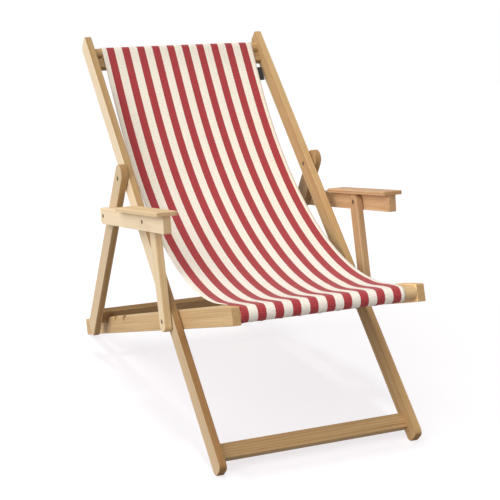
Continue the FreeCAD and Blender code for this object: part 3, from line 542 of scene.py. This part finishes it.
    marks = {"late": late, "fibre": fibre, "pore": pore, "eye": eye, "end": end, "worn": worn}
    rough, height = 0.5, 0.0
    for word, share in TIMBER_ROUGH.items():
        rough = mix.scaled(marks[word], share, rough)
    for word, share in TIMBER_HEIGHT.items():
        height = mix.scaled(marks[word], share, height)
    mix.add("NodeGroupOutput", {"Color": wood, "Roughness": rough, "Height": height})
    return group


class Board:
    """How one board was cut: its run, its middle, its section and its place in the tree."""

    def __init__(self, node, tilt, half_width, wood, cross=False, **cut):
        low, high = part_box(node)
        middle = (low + high) / 2
        self.node = node
        self.turn = Euler((-tilt, 0.0, math.pi / 2 if cross else 0.0))
        laid = self.turn.to_matrix()
        self.shift = -(laid @ middle)
        self.cut = {
            "run": laid.inverted() @ Vector((0.0, 1.0, 0.0)),
            "outward": (0.0 if cross else math.copysign(1.0, middle.x), 0.0, 0.0),
            "half_thickness": (high.x - low.x) / 2,
            "half_width": half_width,
            "pale": wood[0],
            "ring": wood[1],
            "ring_width": RING_WIDTH,
            **cut,
        }


def timber_finish(board, pattern, seed):
    finish, mix = new_finish("oiled_timber_" + board.node)
    where = mix.add("ShaderNodeTexCoord").outputs
    fitted = mix.add("ShaderNodeMapping", {
        "Vector": where["Object"],
        "Location": board.shift,
        "Rotation": board.turn,
    })
    given = {"place": fitted.outputs[0], "facing": where["Normal"], "seed": seed, **board.cut}
    wood = mix.add("ShaderNodeGroup", given, node_tree=pattern).outputs
    mix.surface(wood["Height"], TIMBER_RELIEF, {
        "Base Color": wood["Color"],
        "Roughness": wood["Roughness"],
        "IOR": 1.45,
        "Specular IOR Level": 0.35,
    })
    return finish


# Each wood is a pale and a ring colour.
SAND = (colour(184, 149, 102), colour(148, 110, 66))
HONEY = (colour(216, 182, 134), colour(180, 139, 90))
CREAM = (colour(240, 216, 178), colour(208, 170, 120))
STRAW = (colour(229, 201, 158), colour(198, 160, 110))
AMBER = (colour(206, 170, 119), colour(166, 124, 74))
UMBER = (colour(180, 146, 101), colour(142, 106, 66))
ROSE = (colour(200, 163, 121), colour(166, 122, 80))
PEACH = (colour(220, 183, 139), colour(184, 142, 96))
TAN = (colour(198, 162, 114), colour(150, 112, 68))


def cut_list():
    """Every board with its own cut of wood."""
    boards = []
    for side in ("left", "right"):
        left = side == "left"
        way = -1 if left else 1
        boards += [
            # Shares of painted light on outer faces (more on the left, lamp side), painted shade on
            # inner faces (negative: painted light) and painted shade below the seat.
            Board("long_rail_" + side, LONG_TILT, 0.022, SAND if left else AMBER,
                  heart=(0.05 * way, 0.0, 0.035), bleach=0.82 if left else 0.25, inner_oil=0.12,
                  low_tone=0.85 if left else 0.1),
            Board("seat_rail_" + side, SEAT_TILT, 0.0225, HONEY,
                  heart=(-0.03 * way, 0.0, 0.09), inner_oil=0.0 if left else -0.6),
            Board("prop_leg_" + side, LEG_TILT, 0.023, SAND, knots=0.2,
                  heart=(0.08 * way, 0.0, -0.02), bleach=0.45 if left else 0.15),
            Board("arm_post_" + side, POST_TILT, 0.017, STRAW if left else ROSE, knots=0.3,
                  heart=(0.04, 0.0, 0.03), bleach=0.45 if left else 0.1),
            Board("arm_rail_" + side, ARM_TILT, 0.020, CREAM if left else PEACH, knots=0.12,
                  heart=(0.09, 0.0, -0.012), bleach=0.5 if left else 0.1),
            Board("armrest_" + side, ARM_TILT, 0.00475, STRAW if left else ROSE, knots=0.1,
                  heart=(0.012 * way, 0.0, -0.06), ring_width=0.0035),
            Board("armrest_dowels_" + side, ARM_TILT, 0.005, SAND, heart=(0.06, 0.0, 0.02)),
        ]
    boards += [
        Board("top_rail", LONG_TILT, 0.008, UMBER, cross=True, heart=(0.05, 0.0, 0.05)),
        Board("top_bar", LONG_TILT, 0.014, AMBER, cross=True, heart=(0.02, 0.0, 0.03)),
        Board("floor_bar", LONG_TILT, 0.010, TAN, cross=True, heart=(0.04, 0.0, 0.06)),
        Board("prop_bar", LEG_TILT, 0.008, SAND, cross=True, heart=(0.05, 0.0, 0.04)),
        Board("seat_front_bar", SEAT_TILT, 0.016, HONEY, cross=True, heart=(-0.04, 0.0, 0.05)),
    ]
    return boards


def dress_boards():
    pattern = planed_timber()
    for number, board in enumerate(cut_list(), start=1):
        finish = timber_finish(board, pattern, BOARD_STEP * number)
        for slot in frame["nodes"][board.node].material_slots:
            slot.material = finish


def canvas_finish():
    """Yarn dyed deck chair canvas: stripes, plain weave, uneven yarns and a dry, soft surface."""
    finish, mix = new_finish("striped_canvas")
    across, length, _ = mix.parts(mix.add("ShaderNodeUVMap", uv_map="cloth").outputs[0])
    warp = mix.times(across, CANVAS_WIDTH / THREAD_PITCH)
    weft = mix.times(length, 1.0 / THREAD_PITCH)
    warp_wave = mix.number("SINE", mix.times(warp, math.pi))
    weft_wave = mix.number("SINE", mix.times(weft, math.pi))
    over = mix.times(warp_wave, weft_wave)
    thread = mix.times(mix.number("ABSOLUTE", warp_wave), mix.number("ABSOLUTE", weft_wave))

    # A thread that steps out of line at each stripe edge keeps the edges from being ruled.
    jog = mix.cast(warp, weft, *JOG)
    place = mix.scaled(across, CANVAS_WIDTH, -EDGE_STRIPE)
    place = mix.plus(place, mix.scaled(jog, STRIPE_JOG, -STRIPE_JOG / 2))
    share = mix.number("FRACT", mix.number("DIVIDE", place, STRIPE_PERIOD))
    red_share = RED_STRIPE / STRIPE_PERIOD
    start = mix.rise(share, 0.0, STRIPE_FADE)
    stop = mix.fall(share, red_share - STRIPE_FADE, red_share)
    red = mix.times(mix.times(start, stop), mix.number("GREATER_THAN", place, 0.0))

    # Slubs: yarns that are thicker or paler for a short way, along and across.
    slub_warp = mix.cast(warp, weft, *SLUB_WARP)
    slub_weft = mix.cast(warp, weft, *SLUB_WEFT)
    fleck = mix.cast(warp, weft, *FLECK)
    yarn = mix.plus(mix.times(slub_warp, 0.5), mix.times(slub_weft, 0.5))
    yarn = mix.plus(yarn, mix.scaled(fleck, *FLECK_SHARE))
    wash = mix.cast(across, length, *WASH)
    red_yarn = mix.stain(mix.tint(yarn, *RED_YARNS), wash, RED_WASH)
    cream_yarn = mix.stain(mix.tint(yarn, *CREAM_YARNS), wash, CREAM_WASH)
    yarns = mix.tint(red, cream_yarn, red_yarn)

    # The back takes a tint, with a painted shade on its reds, the top takes a painted shade, and
    # lint speckles all.
    back_tinted_and_shaded = mix.tint(1.0, yarns, mix.tint(red, *BACK_TINT_AND_SHADE), "MULTIPLY")
    yarns = mix.tint(mix.rise(length, *BACK_BEGINS), yarns, back_tinted_and_shaded)
    # Painted shade on the top of the cloth.
    top_shade = mix.times(mix.rise(length, *TOP_SHADE_SPAN), TOP_SHADE_TONE)
    lint = mix.minus(mix.cast(across, length, *LINT), 0.5)
    lint = mix.times(lint, mix.scaled(red, *LINT_SHARE))
    shade = mix.plus(mix.plus(mix.scaled(thread, *THREAD_SHADE), top_shade), lint)
    height = mix.scaled(yarn, YARN_HEIGHT, mix.scaled(over, OVER_HEIGHT, thread))
    mix.surface(height, CANVAS_RELIEF, {
        "Base Color": mix.dim(yarns, shade),
        "Roughness": mix.scaled(thread, *THREAD_ROUGH),
        "Specular IOR Level": 0.2,
        "Sheen Weight": 0.12,
        "Sheen Roughness": 0.6,
    })
    return finish


def woven_finish(name, dark, pale, pitch):
    """Thread or tape: fine ribs on the piece's own coordinates, with uneven dye."""
    finish, mix = new_finish(name)
    where = mix.add("ShaderNodeTexCoord").outputs["Object"]
    x, y, z = mix.parts(where)
    ribs = mix.number("SINE", mix.times(mix.plus(y, z), math.tau / pitch))
    wales = mix.number("SINE", mix.times(x, math.tau / pitch))
    weave = mix.times(ribs, wales)
    dye = mix.times(mix.noise(where, DYE_SPOTS), TAPE_DYE)
    share = mix.plus(dye, mix.scaled(weave, *TAPE_WEAVE), clamp=True)
    mix.surface(weave, TAPE_RELIEF, {
        "Base Color": mix.tint(share, dark, pale),
        "Roughness": 0.85,
        "Sheen Weight": 0.15,
    })
    return finish


def steel_finish(name, dark, pale, stain):
    """Dull plated steel with turning marks and a little tarnish."""
    finish, mix = new_finish(name)
    where = mix.add("ShaderNodeTexCoord").outputs["Object"]
    marks = mix.grain(where, *TURNING_MARKS)
    tarnish = mix.rise(mix.noise(where, *TARNISH_SPOTS), *TARNISH_BEGINS)
    mix.surface(marks, STEEL_RELIEF, {
        "Base Color": mix.stain(mix.tint(marks, dark, pale), tarnish, (stain, TARNISH_SHARE)),
        "Metallic": 1.0,
        "Roughness": mix.scaled(tarnish, TARNISH_ROUGH, mix.scaled(marks, *TURNED_ROUGH)),
    })
    return finish


def arc(centre, radius, start, end):
    count = max(4, math.ceil(abs(end - start) * radius / WRAP_STEP))
    return [centre + radius * heading(start + (end - start) * place / count)
            for place in range(count + 1)]


def straight(first, last):
    count = max(2, math.ceil(np.linalg.norm(last - first) / ROW_STEP))
    return [first + (last - first) * place / count for place in range(count + 1)]


def free_hang(first, last, first_slope, last_slope):
    """The canvas between the bars: a smooth curve through its sag points, tangent to both bars."""
    chord = last - first
    span = np.linalg.norm(chord)
    below = np.array((chord[1], -chord[0])) / span
    sags = [first + share * chord + sag * span * below for share, sag in SAG_SHARES]
    knots = np.array([first, *sags, last])
    gaps = np.linalg.norm(np.diff(knots, axis=0), axis=1)
    size = len(knots)
    matrix = np.eye(size)
    slopes = np.zeros((size, 2))
    slopes[0], slopes[-1] = first_slope, last_slope
    for row in range(1, size - 1):
        before, after = gaps[row - 1], gaps[row]
        matrix[row, row - 1 : row + 2] = (after, 2 * (before + after), before)
        back = after * (knots[row] - knots[row - 1]) / before
        ahead = before * (knots[row + 1] - knots[row]) / after
        slopes[row] = 3 * (back + ahead)
    slopes = np.linalg.solve(matrix, slopes)
    points = []
    for row, gap in enumerate(gaps):
        count = math.ceil(gap / ROW_STEP)
        for place in range(count + (row == size - 2)):
            share = place / count
            square, cube = share ** 2, share ** 3
            points.append(
                (2 * cube - 3 * square + 1) * knots[row]
                + (cube - 2 * square + share) * gap * slopes[row]
                + (3 * square - 2 * cube) * knots[row + 1]
                + (cube - square) * gap * slopes[row + 1]
            )
    return points


class CanvasRoute:
    """Side view of the canvas, from its end under the front bar to its hem behind the round bar."""

    def __init__(self):
        quarter = math.pi / 2
        low_nose = on_rail(SEAT_TILT, NOSE_FROM_PIVOT, NOSE_LOW)
        high_nose = on_rail(SEAT_TILT, NOSE_FROM_PIVOT, NOSE_HIGH)
        up = SEAT_TILT + quarter
        under = low_nose - NOSE_RADIUS * heading(up)
        leave = CANVAS_FRONT_TILT + quarter
        self.front_top = high_nose + NOSE_RADIUS * heading(leave)
        bar = on_rail(LONG_TILT, *ROUND_BAR_PLACE)
        meet = CANVAS_TOP_TILT + quarter
        self.top = bar + ROUND_BAR_RADIUS * heading(meet)
        wrap = straight(under + UNDER_FOLD * heading(SEAT_TILT), under)
        wrap += arc(low_nose, NOSE_RADIUS, up + 2 * quarter, up + quarter)
        wrap += arc(high_nose, NOSE_RADIUS, up + quarter, leave)
        run = heading(CANVAS_TOP_TILT)
        hang = free_hang(self.front_top, self.top, heading(CANVAS_FRONT_TILT), run)
        turn = math.pi + 2 * math.atan(ROUND_BAR_RADIUS / HEM_DEPTH)
        loop = arc(bar, ROUND_BAR_RADIUS, meet, meet - turn)
        behind = (CANVAS_THICK + LAYER_GAP) * heading(CANVAS_TOP_TILT - quarter)
        hem_end = self.top - SEAM_BELOW_TOP * run + behind
        pull = self.top - PULL_BELOW_TOP * run + behind
        hem = [self.bend(loop[-1], pull, hem_end, place / HEM_STEPS)
               for place in range(HEM_STEPS + 1)]
        self.points = self.thinned(wrap + hang + loop + hem)
        steps = np.linalg.norm(np.diff(self.points, axis=0), axis=1)
        self.lengths = np.concatenate(([0.0], np.cumsum(steps)))
        ahead = np.gradient(self.points, axis=0)
        ahead /= np.linalg.norm(ahead, axis=1)[:, None]
        self.outward = np.stack((-ahead[:, 1], ahead[:, 0]), axis=1)
        self.front_row = self.nearest(self.front_top)
        self.top_row = self.nearest(self.top)

    @staticmethod
    def bend(first, pull, last, share):
        rest = 1 - share
        return rest ** 2 * first + 2 * rest * share * pull + share ** 2 * last

    @staticmethod
    def thinned(points):
        kept = [points[0]]
        for point in points[1:]:
            if np.linalg.norm(point - kept[-1]) > SAME_PLACE:
                kept.append(point)
        return np.array(kept)

    def nearest(self, point):
        return int(np.argmin(np.linalg.norm(self.points - point, axis=1)))

    def sides(self, place_y):
        """Left and right edges of the canvas at a distance from front to back."""
        share = min(max((place_y - self.front_top[0]) / TAPER_LENGTH, 0.0), 1.0)
        ease = 1 - (1 - share) ** TAPER_POWER
        return -HALF_WIDTH, FRONT_RIGHT + (HALF_WIDTH - FRONT_RIGHT) * ease + self.flare(place_y)

    def flare(self, place_y):
        """How far the right edge spreads towards the round bar."""
        before_top = max(self.top[0] - place_y, 0.0)
        return TOP_FLARE * math.exp(-before_top / FLARE_RUN)

    def woven_place(self, row, x):
        """Where on the loom's width a point of the cloth was woven, from its left selvedge."""
        left, right = self.sides(self.points[row][0])
        right -= self.flare(self.points[row][0])
        run = max(self.lengths[row] - self.lengths[self.front_row], 0.0)
        tuck = FRONT_TUCK * math.exp(-(run / TUCK_RUN * 2) ** 2)
        full = CANVAS_WIDTH - tuck
        return (tuck + full * (x - left) / (right - left)) / CANVAS_WIDTH

    def below_bar(self, distance):
        """The cloth's middle, its facing and its run at a distance below the round bar."""
        place = self.lengths[self.top_row] - distance
        point = [np.interp(place, self.lengths, self.points[:, axis]) for axis in (0, 1)]
        out = [np.interp(place, self.lengths, self.outward[:, axis]) for axis in (0, 1)]
        return np.array(point), np.array(out) / np.linalg.norm(out)


def new_piece(name, data):
    """Puts a mesh, a lamp or a camera into the scene under its own name."""
    piece = bpy.data.objects.new(name, data)
    bpy.context.scene.collection.objects.link(piece)
    return piece


def plain_mesh(piece, name):
    """What a piece and its modifiers make, as a mesh of its own."""
    bpy.context.view_layer.update()
    seen = piece.evaluated_get(bpy.context.evaluated_depsgraph_get())
    mesh = bpy.data.meshes.new_from_object(seen)
    mesh.name = name
    return mesh


def settled(piece, thickness):
    """Gives a piece its wall, takes the result as its mesh and leaves no modifier on it."""
    wall = piece.modifiers.new("wall", "SOLIDIFY")
    wall.thickness = thickness
    wall.offset = 0.0
    mesh = plain_mesh(piece, piece.name)
    piece.modifiers.clear()
    piece.data = mesh


def pucker(share, distance, depth, run, waves, drift, turns):
    """Small folds across the cloth that die out with the distance from a bar."""
    wave = math.sin(waves * share + drift * math.sin(turns * share))
    return depth * math.exp(-distance / run) * wave


def canvas_swell(route, row, share):
    """How far the cloth stands off its side view curve.

    Its edges are cupped, its middle swells a little, and it puckers near the bars."""
    from_top = route.lengths[route.top_row] - route.lengths[row]
    from_front = route.lengths[row] - route.lengths[route.front_row]
    if from_top < 0 or from_front < 0:
        return 0.0
    hold = 1 - math.exp(-min(from_top, from_front) / HOLD_RUN)
    cup = CUP_DEPTH * abs(2 * share - 1) ** CUP_POWER
    slant = math.sin(SWELL_ACROSS * share + SWELL_SLANT * from_top)
    broad = SWELL_DEPTH * slant * math.sin(SWELL_ALONG * from_top + SWELL_START)
    folds = pucker(share, from_top, **TOP_PUCKERS) + pucker(share, from_front, **FRONT_PUCKERS)
    return hold * (cup + broad + folds)


def cells(rows, columns):
    """The four corners of each cell of a grid of points."""
    across = columns + 1
    corners = [row * across + column for row in range(rows) for column in range(columns)]
    return [(corner, corner + 1, corner + across + 1, corner + across) for corner in corners]


def canvas_sling(route, finish):
    vertices, woven = [], []
    for row, point in enumerate(route.points):
        left, right = route.sides(point[0])
        for column in range(COLUMNS + 1):
            share = column / COLUMNS
            place = point + canvas_swell(route, row, share) * route.outward[row]
            vertices.append((left + (right - left) * share, *place))
            woven.append((route.woven_place(row, vertices[-1][0]), route.lengths[row]))
    mesh = bpy.data.meshes.new("canvas_sling")
    mesh.from_pydata(vertices, [], cells(len(route.points) - 1, COLUMNS))
    cloth = mesh.uv_layers.new(name="cloth")
    for loop in mesh.loops:
        cloth.data[loop.index].uv = woven[loop.vertex_index]
    mesh.materials.append(finish)
    mesh.shade_smooth()
    sling = new_piece("canvas_sling", mesh)
    settled(sling, CANVAS_THICK)
    return sling


def repeat_tree(name, template, finish):
    """Sets one small part at every point, facing out and turned along its run."""
    tree = bpy.data.node_groups.new(name, "GeometryNodeTree")
    face = tree.interface
    face.new_socket("Geometry", in_out="INPUT", socket_type="NodeSocketGeometry")
    face.new_socket("Size", in_out="INPUT", socket_type="NodeSocketFloat")
    face.new_socket("Unevenness", in_out="INPUT", socket_type="NodeSocketFloat")
    face.new_socket("Seed", in_out="INPUT", socket_type="NodeSocketInt")
    face.new_socket("Geometry", in_out="OUTPUT", socket_type="NodeSocketGeometry")
    mix = Recipe(tree)
    given = mix.add("NodeGroupInput").outputs
    part = mix.add("GeometryNodeObjectInfo", {"Object": template})
    facing, run = (mix.add("GeometryNodeInputNamedAttribute", {"Name": word},
                           data_type="FLOAT_VECTOR").outputs["Attribute"]
                   for word in ("facing", "run"))
    stand = mix.add("FunctionNodeAlignRotationToVector", {"Vector": facing}, axis="Z")
    aim = mix.add("FunctionNodeAlignRotationToVector",
                  {"Rotation": stand.outputs[0], "Vector": run}, axis="X", pivot_axis="Z")
    spread = mix.add("FunctionNodeRandomValue", {
        LEAST: mix.minus(1.0, given["Unevenness"]),
        MOST: mix.plus(1.0, given["Unevenness"]),
        "Seed": given["Seed"],
    }, data_type="FLOAT")
    places = mix.add("GeometryNodeMeshToPoints", {"Mesh": given["Geometry"]})
    placed = mix.add("GeometryNodeInstanceOnPoints", {
        "Points": places.outputs[0],
        "Instance": part.outputs["Geometry"],
        "Rotation": aim.outputs[0],
        "Scale": mix.times(spread.outputs[DRAWN], given["Size"]),
    })
    real = mix.add("GeometryNodeRealizeInstances", {0: placed.outputs[0]})
    dressed = mix.add("GeometryNodeSetMaterial",
                      {"Geometry": real.outputs[0], "Material": finish})
    mix.add("NodeGroupOutput", {0: dressed.outputs[0]})
    return tree


def set_out(name, template, places, finish, unevenness=0.0, seed=1):
    """One plain mesh of a small part repeated at places, each a point, a facing and a run."""
    mesh = bpy.data.meshes.new(name + "_places")
    mesh.from_pydata([tuple(point) for point, _, _ in places], [], [])
    for word, index in (("facing", 1), ("run", 2)):
        values = mesh.attributes.new(word, "FLOAT_VECTOR", "POINT")
        values.data.foreach_set("vector", [part for place in places for part in place[index]])
    marks = new_piece(name + "_places", mesh)
    tree = repeat_tree(name + "_spacing", template, finish)
    maker = marks.modifiers.new("spacing", "NODES")
    maker.node_group = tree
    wanted = {"Size": 1.0, "Unevenness": unevenness, "Seed": seed}
    for item in tree.interface.items_tree:
        if item.in_out == "INPUT" and item.name in wanted:
            maker[item.identifier] = wanted[item.name]
    piece = new_piece(name, plain_mesh(marks, name))
    bpy.data.objects.remove(marks)
    bpy.data.objects.remove(template)
    return piece


def turned_part(name, rings):
    """A mesh lofted through rings of points, with its two ends closed."""
    count = len(rings[0])
    vertices = [point for ring in rings for point in ring]
    last = (len(rings) - 1) * count
    faces = [tuple(range(count))[::-1], tuple(range(last, last + count))]
    for first in range(0, last, count):
        second = first + count
        for place in range(count):
            after = (place + 1) % count
            faces.append((first + place, first + after, second + after, second + place))
    mesh = bpy.data.meshes.new(name)
    mesh.from_pydata(vertices, [], faces)
    return new_piece(name, mesh)


def circle(radius, height, count=RING_POINTS):
    turns = [math.tau * place / count for place in range(count)]
    return [(radius * math.cos(turn), radius * math.sin(turn), height) for turn in turns]


def hexagon(flats, height):
    """A six sided ring with as many points as the circles it joins."""
    ring = []
    for place in range(RING_POINTS):
        angle = math.tau * place / RING_POINTS
        within = (angle % (math.pi / 3)) - math.pi / 6
        radius = flats / 2 / math.cos(within)
        ring.append((radius * math.cos(angle), radius * math.sin(angle), height))
    return ring


def pivot_bolt(name, length):
    """A bolt with a low rounded head and a six sided key hole, its head top at the origin."""
    rings = [circle(SHANK_RADIUS, -length)]
    rings += [circle(radius, -depth) for radius, depth in BOLT_HEAD]
    rings += [hexagon(KEY_FLATS, -depth) for depth in KEY_DEPTHS]
    return turned_part(name, rings)


def bolts_for(name, node, body, steel):
    """Detailed bolts in place of a body's plain ones, heads on the outer faces."""
    low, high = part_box(node)
    _, middle_y, middle_z = (low + high) / 2
    places = []
    for side, face in ((-1, low.x), (1, high.x)):
        if side * face > 0:
            places.append((Vector((face, middle_y, middle_z)), (side, 0, 0), KEY_TURN))
    length = BOLT_LENGTHS[node.replace("_left", "").replace("_right", "")]
    piece = set_out(name, pivot_bolt(name + "_pattern", length), places, steel)
    piece.data.shade_smooth()
    piece.data.set_sharp_from_angle(angle=SHARP_EDGE)
    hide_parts(node)
    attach(piece, body)


def thread_loop(name, length, radius):
    """One stitch lying on the cloth: a short thread whose ends dive into it."""
    rings, sides, steps = [], 6, 6
    for place in range(steps + 1):
        share = place / steps
        bow = math.sin(math.pi * share)
        lift = radius * (THREAD_LIFT * bow - THREAD_SUNK)
        width = radius * (THREAD_END + (1 - THREAD_END) * bow)
        x = (share - 0.5) * length
        rings.append([(x, y, lift + z) for y, z, _ in circle(width, 0.0, sides)])
    return turned_part(name, rings)


def staple(name):
    """A flat wire staple: the crown shows and both legs go into the wood."""
    half, shoulder, wire, leg, bend, rise = 0.0048, 0.004128, 0.0005, 0.004, 0.00032, 0.0008
    corners = [(-half, -leg), (-half, bend), (-shoulder, rise), (shoulder, rise), (half, bend),
               (half, -leg)]
    rings = []
    for place, height in corners:
        crown = abs(place) < half
        lean = (0.5 if crown else 0.0) * wire * (-1 if place > 0 else 1)
        thick = wire * (1 if crown else 0.2)
        rings.append([(place + lean * across, side * wire, height + across * thick)
                      for across, side in ((-1, -1), (1, -1), (1, 1), (-1, 1))])
    return turned_part(name, rings)


def sew_hem(route, thread):
    """The seam that closes the loop round the bar, seen on the hem behind."""
    distance = route.lengths[route.top_row] - HEM_STITCHES_BELOW_TOP
    row = int(np.argmin(np.abs(route.lengths - distance)))
    point, outward = route.points[row], route.outward[row]
    left, right = route.sides(point[0])
    places = []
    for number in range(int((right - left - 2 * STITCH_INSET) / HEM_STITCH_SPACING) + 1):
        inset = STITCH_INSET + number * HEM_STITCH_SPACING
        place = point + (canvas_swell(route, row, inset / (right - left)) - HEM_LIFT) * outward
        places.append((Vector((left + inset, *place)), (0.0, *-outward), CROSSWISE))
    stitch = thread_loop("hem_stitch_pattern", HEM_STITCH_LENGTH, HEM_STITCH_RADIUS)
    piece = set_out("hem_stitches", stitch, places, thread, unevenness=0.07, seed=4)
    piece.data.shade_smooth()
    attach(piece, "long_frame")
    return piece


def tack_front(route, steel):
    """Staples that hold the canvas under the front bar."""
    row = route.nearest(route.points[0] - TACKED_FROM_END * heading(SEAT_TILT))
    outward = route.outward[row]
    point = route.points[row] + CANVAS_THICK / 2 * outward
    left, right = route.sides(point[0])
    step = (right - left - 2 * STAPLE_INSET) / (STAPLES - 1)
    places = []
    for number in range(STAPLES):
        x = left + STAPLE_INSET + step * number
        places.append((Vector((x, *point)), (0.0, *outward), CROSSWISE))
    wire = staple("canvas_staple_pattern")
    piece = set_out("canvas_staples", wire, places, steel, unevenness=0.02, seed=9)
    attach(piece, "seat_frame")
    return piece


def plain_tab(route, tape):
    """A plain folded tape tab, sewn under the right edge of the canvas below the bar."""
    low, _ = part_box("sling_tab")
    rows, columns = 32, 14
    vertices = []
    for row in range(rows + 1):
        along = row / rows
        point, out = route.below_bar(TAB_BELOW_BAR + along * TAB_LENGTH)
        roll = TAB_CURL * (1 - TAB_UNCURLS + TAB_UNCURLS * math.cos(2.2 * along))
        frayed = TAB_FRAY * math.cos(math.tau * along * TAB_FRAYS)
        for column in range(columns + 1):
            share = column / columns
            curl = roll * max(0.0, share - TAB_FLAT_SHARE) ** TAB_CURL_POWER
            wave = TAB_WAVE * math.sin(11 * along + 4 * share)
            place = point + (curl + wave - TAB_DROP) * out
            x = low.x + TAB_WIDTH * share - (frayed if column == columns else 0.0)
            vertices.append((x, *place))
    faces = [(first, fourth, third, second) for first, second, third, fourth
             in cells(rows, columns)]
    mesh = bpy.data.meshes.new("plain_tab")
    mesh.from_pydata(vertices, [], faces)
    mesh.materials.append(tape)
    mesh.shade_smooth()
    tab = new_piece("plain_tab", mesh)
    settled(tab, TAB_THICK)
    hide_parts("sling_tab")
    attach(tab, "long_frame")
    return tab


def sew_tab(route, thread):
    """Two short rows of stitches that hold the tab to the hidden side of the canvas."""
    low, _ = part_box("sling_tab")
    places = []
    for along in (TAB_SEAM_INSET, TAB_LENGTH - TAB_SEAM_INSET):
        point, out = route.below_bar(TAB_BELOW_BAR + along)
        place = point - (TAB_DROP + TAB_THICK / 2) * out
        for stitch in range(2):
            x = low.x + TAB_STITCH_INSET + TAB_STITCH_STEP * stitch
            places.append((Vector((x, *place)), (0.0, *-out), CROSSWISE))
    stitch = thread_loop("tab_stitch_pattern", TAB_STITCH_LENGTH, TAB_STITCH_RADIUS)
    piece = set_out("tab_stitches", stitch, places, thread, unevenness=0.06, seed=2)
    piece.data.shade_smooth()
    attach(piece, "long_frame")
    return piece


def dress_steel(steel, bronzed):
    for name, node in frame["nodes"].items():
        if "nut" in name or "washer" in name or "bolt" in name:
            for slot in node.material_slots:
                slot.material = bronzed if "nut" in name else steel


def soft_goods(steel):
    route = CanvasRoute()
    sling = canvas_sling(route, canvas_finish())
    thread = woven_finish("cream_thread", colour(206, 168, 152), colour(232, 204, 184), 0.0006)
    tape = woven_finish("black_tape", colour(16, 16, 17), colour(40, 39, 40), 0.0009)
    dark_thread = woven_finish("black_thread", colour(28, 28, 29), colour(56, 55, 55), 0.0006)
    stitches = sew_hem(route, thread)
    staples = tack_front(route, steel)
    tab = plain_tab(route, tape)
    tab_stitches = sew_tab(route, dark_thread)
    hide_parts("sling")
    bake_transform(sling)


def fit_bolts(steel):
    bolts_for("main_bolt_set", "main_bolts", "long_frame", steel)
    bolts_for("prop_bolt_set", "prop_bolts", "long_frame", steel)
    for side in ("left", "right"):
        bolts_for("arm_front_bolt_set_" + side, "arm_front_bolt_" + side, "arm_" + side, steel)
        bolts_for("arm_rear_bolt_set_" + side, "arm_rear_bolt_" + side, "arm_" + side, steel)


def studio_floor():
    """A pale floor that is white where it is fully lit and keeps the chair's soft shadow."""
    rim = [(x, y, 0.0) for x, y, _ in circle(FLOOR_RADIUS, 0.0, FLOOR_SIDES)]
    mesh = bpy.data.meshes.new("studio_floor")
    mesh.from_pydata(rim, [], [tuple(range(FLOOR_SIDES))])
    finish, mix = new_finish("pale_floor")
    matt = mix.add("ShaderNodeBsdfDiffuse", {"Color": FLOOR_SHADE})
    lift = mix.add("ShaderNodeEmission", {"Color": FLOOR_LIFT, "Strength": mix.seen()})
    both = mix.add("ShaderNodeAddShader", {0: matt.outputs[0], 1: lift.outputs[0]})
    away = mix.vector("LENGTH", mix.add("ShaderNodeTexCoord").outputs["Object"])
    clear = mix.add("ShaderNodeBsdfTransparent")
    fading = mix.add("ShaderNodeMixShader", {
        0: mix.rise(away, FLOOR_FADES_FROM, FLOOR_FADES_TO),
        1: both.outputs[0],
        2: clear.outputs[0],
    })
    mix.add("ShaderNodeOutputMaterial", {"Surface": fading.outputs[0]})
    mesh.materials.append(finish)
    new_piece("studio_floor", mesh)


def studio_lights():
    """Three broad soft lamps and a white air that only the camera and reflections see in full."""
    for name, (toward, strength, spread) in LAMPS.items():
        light = bpy.data.lights.new(name, "SUN")
        light.energy = strength
        light.angle = math.radians(spread)
        holder = new_piece(name, light)
        holder.rotation_euler = Vector(toward).to_track_quat("Z", "Y").to_euler()
    world = bpy.data.worlds.new("studio")
    world.use_nodes = True
    bpy.context.scene.world = world
    mix = Recipe(world.node_tree)
    strength = mix.scaled(mix.seen(), 1.0 - AIR_LIGHT, AIR_LIGHT)
    air = mix.add("ShaderNodeBackground", {"Color": WHITE, "Strength": strength})
    mix.add("ShaderNodeOutputWorld", {"Surface": air.outputs[0]})


def photo_camera():
    """The camera of the photo: a long lens, to the left of the chair and a little above it."""
    camera = bpy.data.cameras.new("camera")
    camera.sensor_width = SENSOR_WIDTH
    camera.lens = LENS
    camera.clip_end = CLIP_END
    turn = Matrix.Identity(4)
    for degrees, axis in CAMERA_TURNS:
        turn = turn @ Matrix.Rotation(math.radians(degrees), 4, axis)
    holder = new_piece("camera", camera)
    holder.matrix_world = Matrix.Translation(CAMERA_PLACE) @ turn
    bpy.context.scene.camera = holder


photo_camera()
bpy.context.scene.view_settings.view_transform = "Standard"
steel = steel_finish("plated_steel", colour(96, 92, 86), colour(142, 138, 131),
                     colour(66, 60, 54))
bronzed = steel_finish("bronzed_steel", colour(136, 108, 76), colour(182, 150, 110),
                       colour(104, 78, 54))
dress_boards()
dress_steel(steel, bronzed)
soft_goods(steel)
fit_bolts(steel)
studio_floor()
studio_lights()
